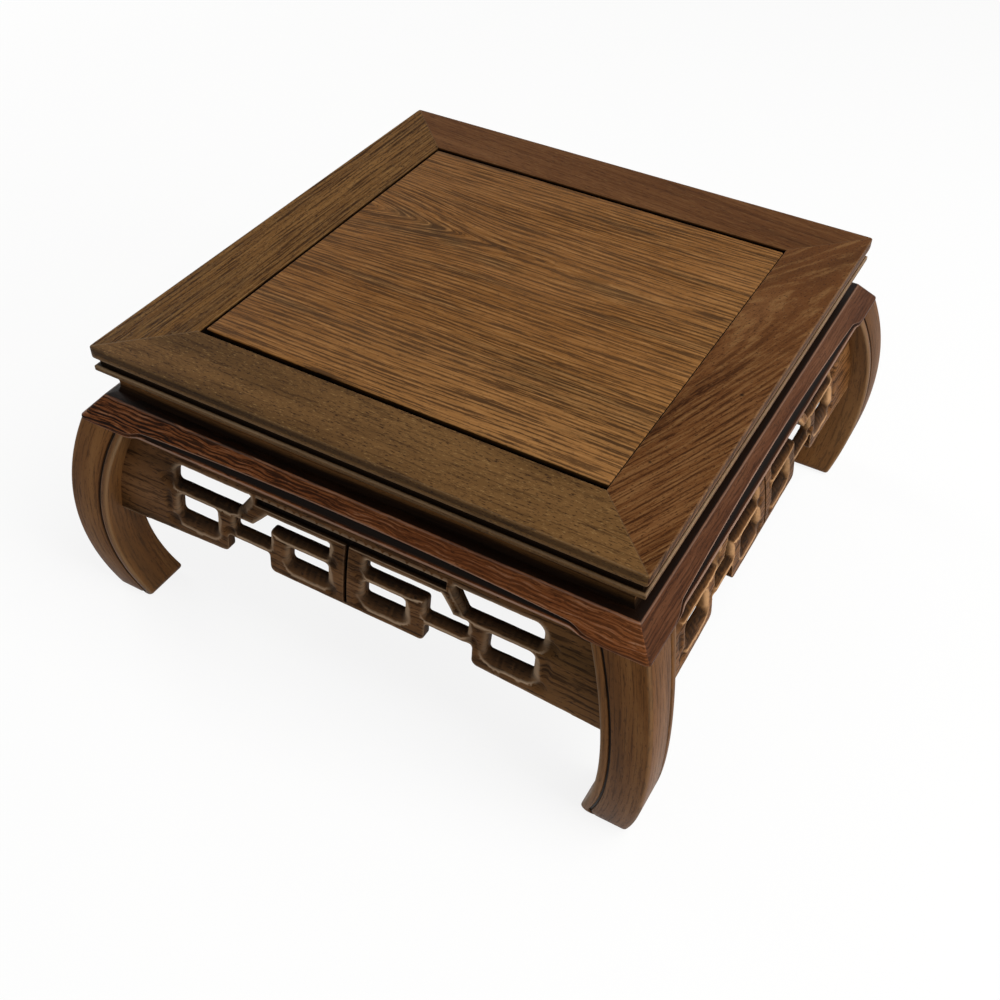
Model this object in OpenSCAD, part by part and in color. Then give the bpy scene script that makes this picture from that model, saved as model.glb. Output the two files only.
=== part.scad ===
// Low square hardwood stand for a carving or a vase: a mitred frame top with a
// floating panel, a recessed waist, a sloped rail, pierced bowed aprons and four
// bowed legs with turned-in toes. Millimetres, +Z up, floor at z = 0, front at -Y.

/* [Top frame] */
// Side of the square top
top_side = 200; // [194:1:240]
// Width of each frame member
frame_w = 25; // [22:0.5:29]
// Depth of each frame member
frame_t = 13; // [12.5:0.5:16]
// Height of the upper lip of the edge moulding
lip_h = 5.1; // [4.6:0.1:5.6]
// Height of the small groove below the upper lip
lip_groove_h = 2.6; // [1.6:0.1:3]
// Depth of that groove
lip_groove_d = 1.8; // [1.2:0.1:2.4]
// Height of the lower lip
lower_lip_h = 2; // [1.2:0.1:2.4]
// How far the lower lip sits in from the upper one
lower_lip_in = 0.3; // [0.1:0.1:0.8]
// Small chamfer on the top arris
lip_ease = 0.5; // [0.2:0.1:1]
// Rounding of the upper lip's corners in plan
lip_corner_r = 1; // [0.8:0.1:3]
// Width of the tenons that hold the frame's mitres
frame_tenon_w = 10; // [6:0.5:11]
// Thickness of those tenons
frame_tenon_t = 3.6; // [2.4:0.2:4.2]
// Wood left between these tenons and the tongues of the waist below
frame_tenon_lift = 1.2; // [0.8:0.1:1.6]
// Wood left between a tenon's end and the frame's outer edge
frame_tenon_cover = 5; // [4:0.5:8]

/* [Panel] */
// Thickness of the panel
panel_t = 8.4; // [7.8:0.1:9]
// Shrinkage gap at the panel's front and back
panel_gap_front = 2.3; // [0.5:0.1:3]
// Gap at the panel's left and right
panel_gap_side = 0.7; // [0.5:0.1:1.5]
// How far the floating panel has crept to the right
panel_shift = 0.4; // [0:0.1:0.5]
// Height of the panel's tongue above its underside
tongue_lift = 1; // [0.6:0.1:1.4]
// Thickness of the panel's tongue
tongue_t = 3; // [2.4:0.1:3.4]
// Length of the tongue into the frame
tongue_l = 3.4; // [2:0.1:3.4]
// Width of the dovetailed batten
batten_w = 14; // [12:0.5:20]
// Narrow width of its dovetail
dovetail_neck = 7; // [5:0.5:8]
// Wide width of its dovetail
dovetail_w = 9.5; // [8.5:0.5:11]
// Height of its dovetail
dovetail_h = 2.6; // [1.6:0.2:3.2]
// Length of the stub tenon at each end of the batten
batten_tenon_l = 6; // [4:0.5:8]
// Shoulder on each side of the stub tenon
batten_shoulder = 2; // [1:0.5:4]
// Gap between the batten and the frame's underside
batten_lift = 0.4; // [0.2:0.1:0.6]

/* [Waist] */
// Height of the waist
waist_h = 6.5; // [5.5:0.5:9]
// How far the waist's top sits in from the top's edge
waist_in = 4.2; // [3.6:0.1:5.5]
// Depth of the hollow in the waist's face
waist_hollow = 0.8; // [0.3:0.1:1.6]
// Thickness of the waist strips
waist_t = 8.5; // [8:0.5:12]
// Thickness of the waist's tongues
waist_tongue_t = 3; // [2:0.2:4]
// Height of the waist's tongues
waist_tongue_h = 2; // [1.2:0.2:2.4]

/* [Rail] */
// Height of the rail at the legs
rail_h = 8.8; // [8:0.2:11]
// How far the rail's lower edge stands out from the top's edge
rail_out = 6; // [5.95:0.05:7.5]
// How far the rail's upper arris sits in from the top's edge
rail_top_in = 1.7; // [0.6:0.1:2.4]
// Depth of the rail from its lower edge inwards
rail_depth = 21; // [20:0.5:26]
// Fall of the sloped ledge outside the waist
ledge_fall = 0.5; // [0.2:0.1:1]
// Height of the plain band below the sloped face
rail_band = 1.2; // [0.8:0.1:2]
// Rise of the rail's lower edge between the legs
rail_rise = 1.5; // [1:0.1:2.2]
// Length of the reverse curve beside each leg
curve_l = 7; // [6:0.5:10]
// Width of the bead along the rail's lower edge
rail_bead_w = 1; // [0.7:0.1:1.4]
// Width of the groove above that bead
rail_groove_w = 1.3; // [0.7:0.1:1.6]
// Depth of the groove
rail_groove_d = 0.9; // [0.5:0.1:1.2]

/* [Legs] */
// Height of the legs up to the rail
leg_h = 81; // [78:0.1:85]
// How far the leg's belly stands out from the top's edge
belly_out = 13.4; // [13:0.1:13.4]
// Height of the belly above the floor
belly_z = 38.5; // [37:0.5:43]
// Radius of the leg's outer bow
bow_r = 126; // [120:1:126]
// Width of the leg at its belly
leg_w = 16.4; // [15:0.2:18]
// Radius of the leg's inner curve
inner_r = 100; // [96:1:110]
// Height at which the inner curve is deepest
inner_z = 37.5; // [36:0.5:41]
// Rounding of the toe
toe_r = 3; // [2:0.2:4]
// How far that rounding laps past the inner curve
toe_lap = 0.1; // [0.05:0.05:0.3]
// Width of the bead along the leg's inner edge
leg_bead_w = 3; // [2.4:0.1:4]
// Width of the line that sets off the bead
leg_line_w = 0.8; // [0.5:0.1:1.2]
// Depth of that line
leg_line_d = 0.8; // [0.4:0.1:1.2]
// Side of the square tenon on top of each leg
leg_tenon_w = 8; // [6:0.5:8.5]
// Height of that tenon
leg_tenon_h = 4.5; // [3:0.5:5]

/* [Fret aprons] */
// Setback of the apron's face behind the leg's face
apron_set = 7.4; // [5:0.2:8]
// Thickness of the apron
apron_t = 3.6; // [3:0.2:4.4]
// Depth of the solid beam at the apron's top
beam_d = 9.9; // [8:0.1:11]
// Width of the thin bars
bar_w = 3.4; // [2.6:0.1:3.8]
// Width of the band below the beam
band_w = 2.7; // [2:0.1:3.2]
// Height of the sunk line between beam and band
sunk_h = 1.7; // [1.2:0.1:2.2]
// Depth of the sunk line
sunk_d = 1.6; // [0.8:0.1:2]
// Half width of the centre post
post_half = 7.2; // [6:0.1:8]
// Width of the line down the centre post
post_line_w = 1.2; // [0.8:0.1:1.6]
// Depth of the line down the centre post
post_line_d = 0.9; // [0.5:0.1:1.4]
// Height of the outer upper slot
outer_slot_h = 7.5; // [6.5:0.1:8.5]
// Distance of that slot's outer end from the centre
outer_slot_end = 70.8; // [70:0.1:72]
// Height of the outer loop's slot
loop_slot_h = 8.4; // [7:0.1:9]
// Distance of the outer loop's slot from the centre, inner end
loop_slot_in = 52.8; // [52:0.1:54]
// Distance of the outer loop's slot from the centre, outer end
loop_slot_out = 69.1; // [66:0.1:71]
// Distance of the outer loop's inner side from the centre
loop_in = 45; // [44:0.1:46.5]
// Distance of the same side from the centre, below the joining bar
loop_low_in = 48; // [47:0.1:49]
// Height of the inner upper slot
inner_slot_h = 4.7; // [4.2:0.1:5.2]
// Distance of the inner loop's outer side from the centre
inner_loop_out = 30.4; // [29:0.1:31.5]
// Distance of the inner loop's slot end from the centre
inner_loop_slot = 22.5; // [20:0.1:24]
// Height of the inner loop's slot
inner_loop_h = 6.5; // [5.5:0.1:7]
// Depth of the ledge beside the outer loop below the beam
step_d = 10.2; // [9.8:0.1:10.6]
// Depth of the joining bar's top below the beam
join_d = 15.3; // [14.6:0.1:15.8]
// Depth of the inner loop's foot below the beam
inner_foot_d = 26.2; // [25:0.1:27.5]
// Depth of the outer loop's foot below the beam
outer_foot_d = 26.5; // [25.5:0.1:27.5]
// Depth of the end block's foot below the beam, at the leg
end_foot_d = 29.3; // [28.5:0.1:31]
// Distance of the strut's outer edge from the centre, at the beam
strut_out = 38.7; // [38:0.1:39.5]
// Distance of the strut's inner edge from the centre, at the band
strut_in = 33.9; // [33:0.1:34.6]
// Run of the strut's edges for each millimetre of drop
strut_run = 0.75; // [0.65:0.05:0.85]
// Rounding of the slots' corners
slot_r = 1.4; // [0.8:0.1:2]
// Rounding of the loops' lower corners
foot_r = 2.2; // [1.2:0.1:3]
// Length of the apron's tongues into rail and legs
apron_tongue_l = 2; // [1.4:0.1:2.4]
// Thickness of the apron's tongues
apron_tongue_t = 1.8; // [1.4:0.1:2.2]
// How far the end tongues stop short of the apron's corners
tongue_margin = 4; // [3:0.5:6]

/* [Fit] */
// Clearance at the end of a tongue or tenon
end_slack = 0.3; // [0.2:0.05:0.5]

/* [Hidden] */
$fn = 96;
wood = [0.36, 0.22, 0.13];
light_wood = [0.47, 0.31, 0.19];
far = 200;
over = 1;
half = top_side / 2;
open_half = half - frame_w;
rail_z = leg_h;
waist_z = rail_z + rail_h;
frame_z = waist_z + waist_h;
top_z = frame_z + frame_t;
panel_z = top_z - panel_t;
tongue_z = panel_z + tongue_lift;
groove_depth = tongue_l + panel_shift + end_slack;
frame_tenon_z = frame_z + waist_tongue_h + frame_tenon_lift;
frame_tenon_r = half - frame_w / 2;
frame_tenon_end = half - frame_tenon_cover;
waist_r = half - waist_in;
waist_tongue_r = waist_r - waist_t / 2;
rail_r = half + rail_out;
rail_in_r = rail_r - rail_depth;
rail_face_z = waist_z - ledge_fall;
belly_r = half + belly_out;
bow_c = belly_r - bow_r;
inner_c = belly_r - leg_w - inner_r;
leg_top_out = bow_c + sqrt(pow(bow_r, 2) - pow(leg_h - belly_z, 2));
leg_top_in = inner_c + sqrt(pow(inner_r, 2) - pow(leg_h - inner_z, 2));
leg_mid = (leg_top_out + leg_top_in) / 2;
toe_c = inner_c + sqrt(pow(inner_r, 2) - pow(inner_z - toe_r, 2)) + toe_r - toe_lap;
apron_top = rail_z + rail_rise;
apron_r = bow_r - apron_set;
apron_top_r = bow_c + sqrt(pow(apron_r - apron_t / 2, 2) - pow(apron_top - belly_z, 2));
curve_start = leg_top_in - curve_l;
curve_r = (pow(rail_rise, 2) + pow(curve_l, 2)) / (4 * rail_rise);
beam_z = apron_top - beam_d;
outer_slot_z = beam_z - outer_slot_h;
loop_top_z = outer_slot_z - bar_w;
inner_top_z = beam_z - sunk_h - band_w;
inner_bar_z = inner_top_z - inner_slot_h;
inner_loop_z = inner_bar_z - bar_w;
join_z = beam_z - join_d;
step_z = beam_z - step_d;
inner_foot_z = beam_z - inner_foot_d;
outer_foot_z = beam_z - outer_foot_d;
end_foot_z = beam_z - end_foot_d;

// Runs a section drawn as (distance outwards, height) along X on the front side
module run_front(length) {
  rotate([90, 0, -90])
    linear_extrude(length, center = true)
      children();
}

// Pushes a shape drawn as (X, height) through from front to back on the front side
module push_front() {
  rotate([90, 0, 0])
    linear_extrude(far)
      children();
}

// The quarter of the plan that belongs to the front side, bounded by the mitres
module front_quarter() {
  linear_extrude(far)
    polygon([[0, 0], [-far, -far], [far, -far]]);
}

// Box between two corners
module block(low, high) {
  translate(low)
    cube(high - low);
}

// Rectangle between two corners
module sheet(low, high) {
  translate(low)
    square(high - low);
}

// Rectangle with rounded corners
module soft_slot(low, high, r) {
  sheet([low[0] + r, low[1]], [high[0] - r, high[1]]);
  sheet([low[0], low[1] + r], [high[0], high[1] - r]);
  for (x = [low[0] + r, high[0] - r], z = [low[1] + r, high[1] - r])
    translate([x, z])
      circle(r);
}

// Section of a frame member: edge moulding outside, panel groove inside
module frame_section() {
  groove_top = top_z - lip_h;
  lower_top = groove_top - lip_groove_h;
  lower_r = half - lower_lip_in;
  lower_bottom = lower_top - lower_lip_h;
  difference() {
    polygon([[open_half, frame_z], [waist_r, frame_z], [lower_r, lower_bottom], [lower_r, lower_top],
             [half - lip_groove_d, lower_top], [half - lip_groove_d, groove_top], [half, groove_top],
             [half, top_z - lip_ease], [half - lip_ease, top_z], [open_half, top_z]]);
    sheet([open_half - over, tongue_z], [open_half + groove_depth, tongue_z + tongue_t + end_slack]);
    sheet([waist_tongue_r - waist_tongue_t / 2, frame_z - over],
          [waist_tongue_r + waist_tongue_t / 2, frame_z + waist_tongue_h + end_slack]);
  }
}

// One frame member on the front side, its upper lip rounded in plan at the corners
module frame_member() {
  cut_h = lip_h + lip_groove_h / 2;
  difference() {
    intersection() {
      run_front(2 * far)
        frame_section();
      front_quarter();
    }
    for (side = [0, 1])
      mirror([side, 0, 0])
        translate([half - lip_corner_r, lip_corner_r - half, top_z - cut_h])
          difference() {
            translate([0, -lip_corner_r - over, 0])
              cube([lip_corner_r + over, lip_corner_r + over, cut_h + over]);
            translate([0, 0, -over])
              cylinder(h = cut_h + 3 * over, r = lip_corner_r);
          }
  }
}

// The tenon at one corner of the frame, with its end moved by some slack
module frame_tenon(side_x, side_y, slack) {
  low_x = side_x * frame_tenon_r - frame_tenon_w / 2;
  root = open_half + groove_depth;
  end = frame_tenon_end + slack;
  block([low_x, side_y > 0 ? root : -end, frame_tenon_z],
        [low_x + frame_tenon_w, side_y > 0 ? end : -root, frame_tenon_z + frame_tenon_t]);
}

// A mortised frame member on the front side
module mortised_member() {
  difference() {
    frame_member();
    frame_tenon(-1, -1, end_slack);
    frame_tenon(1, -1, end_slack);
    batten_body(end_slack);
  }
}

// A tenoned frame member on the right side
module tenoned_member() {
  rotate(90)
    frame_member();
  frame_tenon(1, -1, 0);
  frame_tenon(1, 1, 0);
}

// The batten without its dovetail; slack lengthens its stub tenons
module batten_body(slack) {
  end = open_half + batten_tenon_l + slack;
  stub_half = batten_w / 2 - batten_shoulder;
  low = frame_z + batten_lift;
  block([-stub_half, -end, low + batten_lift], [stub_half, end, panel_z - batten_lift]);
  block([-batten_w / 2, -open_half, low], [batten_w / 2, open_half, panel_z]);
}

// The dovetail key that slides in the panel
module dovetail(length) {
  rotate([90, 0, 0])
    linear_extrude(length, center = true)
      union() {
        polygon([[-dovetail_neck / 2, panel_z], [dovetail_neck / 2, panel_z],
                 [dovetail_w / 2, panel_z + dovetail_h], [-dovetail_w / 2, panel_z + dovetail_h]]);
        sheet([-dovetail_neck / 2, panel_z - over], [dovetail_neck / 2, panel_z]);
      }
}

// Section of a waist strip: hollow face, a tongue above and a tongue below
module waist_section() {
  low_tongue = waist_tongue_r - waist_tongue_t / 2;
  high_tongue = waist_tongue_r + waist_tongue_t / 2;
  hollow_r = (pow(waist_h / 2, 2) + pow(waist_hollow, 2)) / (2 * waist_hollow);
  difference() {
    sheet([waist_r - waist_t, waist_z], [waist_r, frame_z]);
    translate([waist_r - waist_hollow + hollow_r, (waist_z + frame_z) / 2])
      circle(hollow_r);
  }
  sheet([low_tongue, frame_z - over], [high_tongue, frame_z + waist_tongue_h]);
  sheet([low_tongue, waist_z - waist_tongue_h], [high_tongue, waist_z + over]);
}

// One waist strip on the front side
module waist_strip() {
  intersection() {
    run_front(2 * far)
      waist_section();
    front_quarter();
  }
}

// Section of the rail, drawn proud or shy of its true face by some growth
module rail_section(growth) {
  polygon([[rail_in_r, rail_z], [rail_r + growth, rail_z], [rail_r + growth, rail_z + rail_band],
           [half - rail_top_in + growth, rail_face_z], [waist_r, waist_z], [rail_in_r, waist_z]]);
}

// The space under the rail between the legs, its edge moved up by some shift
module under_rail(shift, reach) {
  split = curve_start + (curve_r + shift) * curve_l / (2 * curve_r);
  split_z = apron_top - curve_r + sqrt(pow(curve_r + shift, 2) - pow(split - curve_start, 2));
  sheet([-curve_start, 0], [curve_start, apron_top + shift]);
  for (side = [0, 1])
    mirror([side, 0]) {
      intersection() {
        translate([curve_start, apron_top - curve_r])
          circle(curve_r + shift);
        sheet([curve_start - over, split_z - over], [split, far]);
      }
      sheet([curve_start - over, 0], [split, split_z - over / 2]);
      difference() {
        sheet([split, 0], [leg_top_in, split_z]);
        translate([leg_top_in, rail_z + curve_r])
          circle(curve_r - shift);
      }
      sheet([leg_top_in - over, 0], [leg_top_in + reach, rail_z + shift]);
    }
}

// One rail on the front side
module rail() {
  difference() {
    intersection() {
      run_front(2 * far)
        rail_section(0);
      front_quarter();
    }
    push_front()
      under_rail(0, 0);
    difference() {
      push_front()
        difference() {
          under_rail(rail_bead_w + rail_groove_w, leg_bead_w + leg_line_w);
          under_rail(rail_bead_w, leg_bead_w + leg_line_w);
        }
      run_front(3 * far)
        rail_section(-rail_groove_d);
    }
    run_front(2 * far)
      sheet([waist_tongue_r - waist_tongue_t / 2, waist_z - waist_tongue_h - end_slack],
            [waist_tongue_r + waist_tongue_t / 2, waist_z + over]);
    apron_top_tongue(end_slack);
    for (turn = [0, 1, 3])
      rotate(90 * turn)
        leg_tenon(end_slack);
  }
}

// The tongue along the apron's top edge
module apron_top_tongue(slack) {
  reach = curve_start - over;
  block([-reach, -apron_top_r - apron_tongue_t / 2, apron_top - over],
        [reach, -apron_top_r + apron_tongue_t / 2, apron_top + apron_tongue_l + slack]);
}

// A sheet bowed like the legs, on the front side, between two radii and two heights
module bowed_sheet(r_out, r_in, low, high) {
  run_front(2 * far)
    intersection() {
      translate([bow_c, belly_z])
        difference() {
          circle(r_out);
          circle(r_in);
        }
      sheet([half / 2, low], [far, high]);
    }
}

// The space between the inner curves of two legs, grown into the legs by some depth
module between_legs(depth) {
  for (side = [0, 1])
    mirror([side, 0])
      intersection() {
        translate([inner_c, inner_z])
          circle(inner_r + depth);
        sheet([-over, -far], [far, far]);
      }
}

// Front view of the apron before it is pierced, right half
module apron_half() {
  difference() {
    polygon([[-over, apron_top + over], [half, apron_top + over], [half, end_foot_z],
             [loop_low_in, outer_foot_z], [loop_low_in, join_z - bar_w], [inner_loop_out, join_z - bar_w],
             [inner_loop_out, inner_foot_z], [-over, inner_foot_z]]);
    difference() {
      sheet([inner_loop_out - foot_r, inner_foot_z - over], [inner_loop_out + over, inner_foot_z + foot_r]);
      translate([inner_loop_out - foot_r, inner_foot_z + foot_r])
        circle(foot_r);
    }
    difference() {
      sheet([loop_low_in - over, outer_foot_z - over], [loop_low_in + foot_r, outer_foot_z + foot_r]);
      translate([loop_low_in + foot_r, outer_foot_z + foot_r])
        circle(foot_r);
    }
  }
}

// The openings of the fret, right half
module fret_half() {
  outer_run = strut_run * outer_slot_h;
  step_x = strut_in + strut_run * (inner_top_z - step_z);
  intersection() {
    soft_slot([strut_out - 3 * slot_r, outer_slot_z], [outer_slot_end, beam_z], slot_r);
    polygon([[strut_out, beam_z + over], [far, beam_z + over], [far, outer_slot_z - over],
             [strut_out + outer_run, outer_slot_z - over], [strut_out + outer_run, outer_slot_z],
             [strut_out, beam_z]]);
  }
  soft_slot([loop_slot_in, loop_top_z - loop_slot_h], [loop_slot_out, loop_top_z], slot_r);
  soft_slot([post_half, inner_loop_z - inner_loop_h], [inner_loop_slot, inner_loop_z], slot_r);
  difference() {
    polygon([[post_half, inner_top_z], [strut_in, inner_top_z], [step_x, step_z], [loop_in, step_z],
             [loop_in, join_z], [inner_loop_out - foot_r, join_z], [inner_loop_out - foot_r, inner_bar_z],
             [post_half, inner_bar_z]]);
    sheet([inner_loop_out - foot_r - over, join_z - over], [inner_loop_out, inner_bar_z - foot_r]);
    translate([inner_loop_out - foot_r, inner_bar_z - foot_r])
      circle(foot_r);
  }
}

// The apron's tongue into the legs at both ends
module apron_end_tongue(slack) {
  margin = (apron_t - apron_tongue_t) / 2;
  intersection() {
    push_front()
      difference() {
        between_legs(apron_tongue_l + slack);
        between_legs(-over);
      }
    bowed_sheet(apron_r - margin, apron_r - margin - apron_tongue_t,
                end_foot_z + tongue_margin, rail_z - tongue_margin);
  }
}

// Front view of the whole apron with its openings
module fret_outline() {
  difference() {
    intersection() {
      between_legs(0);
      union() {
        apron_half();
        mirror([1, 0])
          apron_half();
      }
    }
    fret_half();
    mirror([1, 0])
      fret_half();
  }
}

// The sunk line below the beam and the line down the centre post
module fret_lines() {
  sunk_end = strut_out - strut_run * sunk_h - bar_w / 2;
  intersection() {
    push_front()
      sheet([-sunk_end, beam_z - sunk_h], [sunk_end, beam_z]);
    bowed_sheet(apron_r + over, apron_r - sunk_d, end_foot_z, apron_top);
  }
  intersection() {
    push_front()
      sheet([-post_line_w / 2, inner_foot_z - over], [post_line_w / 2, beam_z - sunk_h / 2]);
    bowed_sheet(apron_r + over, apron_r - post_line_d, end_foot_z - over, apron_top);
  }
}

// One pierced apron on the front side
module fret_apron() {
  difference() {
    intersection() {
      bowed_sheet(apron_r, apron_r - apron_t, end_foot_z - over, apron_top);
      push_front()
        fret_outline();
    }
    push_front()
      difference() {
        sheet([-half, rail_z - over], [half, waist_z]);
        under_rail(0, leg_w);
      }
    fret_lines();
  }
  apron_top_tongue(0);
  apron_end_tongue(0);
}

// Front view of a leg: the outer bow, the inner curve and the rounded toe
module leg_section() {
  difference() {
    intersection() {
      translate([bow_c, belly_z])
        circle(bow_r);
      sheet([half / 2, 0], [far, leg_h]);
    }
    translate([inner_c, inner_z])
      circle(inner_r);
    difference() {
      sheet([toe_c - 4 * toe_r, -over], [toe_c, toe_r]);
      translate([toe_c, toe_r])
        circle(toe_r);
    }
  }
}

// The line beside the bead, cut into one outer face of the front right leg
module leg_line() {
  intersection() {
    push_front()
      difference() {
        translate([inner_c, inner_z])
          circle(inner_r + leg_bead_w + leg_line_w);
        translate([inner_c, inner_z])
          circle(inner_r + leg_bead_w);
        sheet([-far, -far], [half / 2, far]);
      }
    bowed_sheet(bow_r + over, bow_r - leg_line_d, -over, leg_h + over);
  }
}

// The tenon on top of the front right leg
module leg_tenon(slack) {
  block([leg_mid - leg_tenon_w / 2, -leg_mid - leg_tenon_w / 2, leg_h - over],
        [leg_mid + leg_tenon_w / 2, -leg_mid + leg_tenon_w / 2, leg_h + leg_tenon_h + slack]);
}

// The front right leg
module leg() {
  difference() {
    intersection() {
      push_front()
        leg_section();
      rotate(90)
        mirror([1, 0, 0])
          push_front()
            leg_section();
    }
    leg_line();
    rotate(90)
      mirror([1, 0, 0])
        leg_line();
    apron_end_tongue(end_slack);
    rotate(90)
      apron_end_tongue(end_slack);
  }
  leg_tenon(0);
}

module top_frame_front() {
  color(wood)
    mortised_member();
}

module top_frame_back() {
  color(wood)
    rotate(180)
      mortised_member();
}

module top_frame_left() {
  color(wood)
    rotate(180)
      tenoned_member();
}

module top_frame_right() {
  color(wood)
    tenoned_member();
}

module top_panel() {
  side_half = open_half - panel_gap_side;
  front_half = open_half - panel_gap_front;
  reach = open_half + tongue_l;
  color(light_wood)
    difference() {
      translate([panel_shift, 0, 0]) {
        block([-side_half, -front_half, panel_z], [side_half, front_half, top_z]);
        block([-reach, -reach, tongue_z], [reach, reach, tongue_z + tongue_t]);
      }
      dovetail(2 * far);
    }
}

module panel_batten() {
  color(wood) {
    batten_body(0);
    dovetail(2 * (open_half - panel_gap_front));
  }
}

module waist_front() {
  color(wood)
    waist_strip();
}

module waist_back() {
  color(wood)
    rotate(180)
      waist_strip();
}

module waist_left() {
  color(wood)
    rotate(270)
      waist_strip();
}

module waist_right() {
  color(wood)
    rotate(90)
      waist_strip();
}

module apron_rail_front() {
  color(wood)
    rail();
}

module apron_rail_back() {
  color(wood)
    rotate(180)
      rail();
}

module apron_rail_left() {
  color(wood)
    rotate(270)
      rail();
}

module apron_rail_right() {
  color(wood)
    rotate(90)
      rail();
}

module fret_apron_front() {
  color(wood)
    fret_apron();
}

module fret_apron_back() {
  color(wood)
    rotate(180)
      fret_apron();
}

module fret_apron_left() {
  color(wood)
    rotate(270)
      fret_apron();
}

module fret_apron_right() {
  color(wood)
    rotate(90)
      fret_apron();
}

module leg_front_left() {
  color(light_wood)
    rotate(270)
      leg();
}

module leg_front_right() {
  color(light_wood)
    leg();
}

module leg_back_left() {
  color(light_wood)
    rotate(180)
      leg();
}

module leg_back_right() {
  color(light_wood)
    rotate(90)
      leg();
}

top_frame_front();
top_frame_back();
top_frame_left();
top_frame_right();
top_panel();
panel_batten();
waist_front();
waist_back();
waist_left();
waist_right();
apron_rail_front();
apron_rail_back();
apron_rail_left();
apron_rail_right();
fret_apron_front();
fret_apron_back();
fret_apron_left();
fret_apron_right();
leg_front_left();
leg_front_right();
leg_back_left();
leg_back_right();
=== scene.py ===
"""Looks of a low square hardwood stand: eased and carved meshes over the CAD frame, woods and studio."""

import logging
from dataclasses import dataclass, field, replace
from enum import Enum
from typing import Any

import bpy
import numpy as np
from mathutils import Euler, Matrix, Vector
from mathutils.geometry import delaunay_2d_cdt


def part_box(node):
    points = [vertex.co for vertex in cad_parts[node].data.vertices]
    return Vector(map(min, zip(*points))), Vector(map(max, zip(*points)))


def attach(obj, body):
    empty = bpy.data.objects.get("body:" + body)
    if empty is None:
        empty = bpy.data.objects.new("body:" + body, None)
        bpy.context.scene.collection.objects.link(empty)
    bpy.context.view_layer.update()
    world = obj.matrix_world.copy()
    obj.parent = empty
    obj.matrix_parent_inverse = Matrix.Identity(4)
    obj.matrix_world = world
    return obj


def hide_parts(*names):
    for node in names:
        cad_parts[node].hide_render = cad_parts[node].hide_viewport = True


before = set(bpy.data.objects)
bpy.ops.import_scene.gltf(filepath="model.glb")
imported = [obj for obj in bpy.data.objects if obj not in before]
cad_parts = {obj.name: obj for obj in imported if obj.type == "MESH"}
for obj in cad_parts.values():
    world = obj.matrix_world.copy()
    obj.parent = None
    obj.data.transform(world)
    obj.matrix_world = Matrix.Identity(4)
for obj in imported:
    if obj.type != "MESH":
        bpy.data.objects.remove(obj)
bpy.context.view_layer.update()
LOG = logging.getLogger("stand")

# Shapes are worked out in millimetres and turned to metres as they go into a mesh
MM = 0.001
# Lengths in millimetres below this count as nothing
SMALL = 1e-6
# What is divided by is held above this
TINY = 1e-9
# Faces that meet at more than this many degrees keep a crisp edge
CRISP_DEG = 40.0
# Holds a mitred normal at a sharp corner to a length of 2 divided by this at most
MITRE_LEAST = 0.4
# The three sines of a hand-worked edge, each by its strength, its pace and its lead
RIPPLES = ((1.0, 1.0, 0.0), (0.6, 2.3, 1.7), (0.4, 4.1, 0.4))
# Half width of a mitre that is glued shut
MITRE_SHUT = 0.008
# How near an arris is rubbed and given a painted highlight, as a share of its radius, and the radius that a
# sharp one counts as
NEAR_ARRIS = 0.75
LEAST_R = 0.001
# Sockets of a Mix node: its two values, then its two colours and the mixed colour
FIRST, SECOND = 2, 3
UNDER, OVER, MIXED = 6, 7, 2

Array = np.ndarray
Tree = bpy.types.NodeTree
Socket = bpy.types.NodeSocket
Material = bpy.types.Material
Pair = tuple[float, float]
Triple = tuple[float, float, float]
# What a coat depends on, the edge over which it grows, its full share and its sRGB hex colour
Coat = tuple[Socket, Pair, float, str]
# Edge of a coat whose value is its share already
WHOLE = (0.0, 1.0)
# Faces as lists of point numbers
Faces = list[list[int]]
# Points of an outline as (x, height) rows, and their numbers in the mesh
Outline = tuple[Array, Array]


class Side(Enum):
    """The four sides of the stand, each as a count of quarter turns from the front."""

    FRONT = 0
    RIGHT = 1
    BACK = 2
    LEFT = 3

    @property
    def label(self) -> str:
        """Name of the side as the CAD nodes spell it."""
        return self.name.lower()

    @property
    def grain(self) -> "Grain":
        """Direction of the fibres in a piece that runs along this side."""
        return Grain.X if self in (Side.FRONT, Side.BACK) else Grain.Y

    def turn(self, points: Array) -> Array:
        """Turn points of the front side to this side.

        Args:
            points: array of (x, y, z) rows.

        Returns:
            The rows turned about Z by whole quarter turns, (x, y) to (-y, x) each time.
        """
        x, y, z = points[:, 0], points[:, 1], points[:, 2]
        for _ in range(self.value):
            x, y = -y, x
        return np.stack([x, y, z], axis=1)


class Grain(Enum):
    """Direction of the wood's fibres, as the turn in degrees that brings that axis to local X."""

    X = (0.0, 0.0, 0.0)
    Y = (0.0, 0.0, -90.0)
    Z = (0.0, 90.0, 0.0)


def linear(colour: str) -> tuple[float, float, float, float]:
    """Turn an sRGB hex colour to linear RGBA.

    Args:
        colour: six hex digits with a leading hash.

    Returns:
        Linear red, green, blue and an alpha of one.
    """
    values = np.array([int(colour[i:i + 2], 16) for i in (1, 3, 5)]) / 255.0
    low = values / 12.92
    high = ((values + 0.055) / 1.055) ** 2.4
    red, green, blue = np.where(values <= 0.04045, low, high)
    return float(red), float(green), float(blue), 1.0


def add(tree: Tree, kind: str, links: dict[Any, Any] | None = None, **settings: Any) -> bpy.types.Node:
    """Add a node, set its properties and feed its inputs.

    Args:
        tree: the node tree that gets the node.
        kind: the node's type name.
        links: input name or index to an output socket or to a constant.
        settings: properties of the node.

    Returns:
        The new node.
    """
    node = tree.nodes.new(kind)
    for name, value in settings.items():
        setattr(node, name, value)
    for key, value in (links or {}).items():
        socket = node.inputs[key]
        if isinstance(value, bpy.types.NodeSocket):
            tree.links.new(value, socket)
        else:
            socket.default_value = value
    return node


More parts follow.
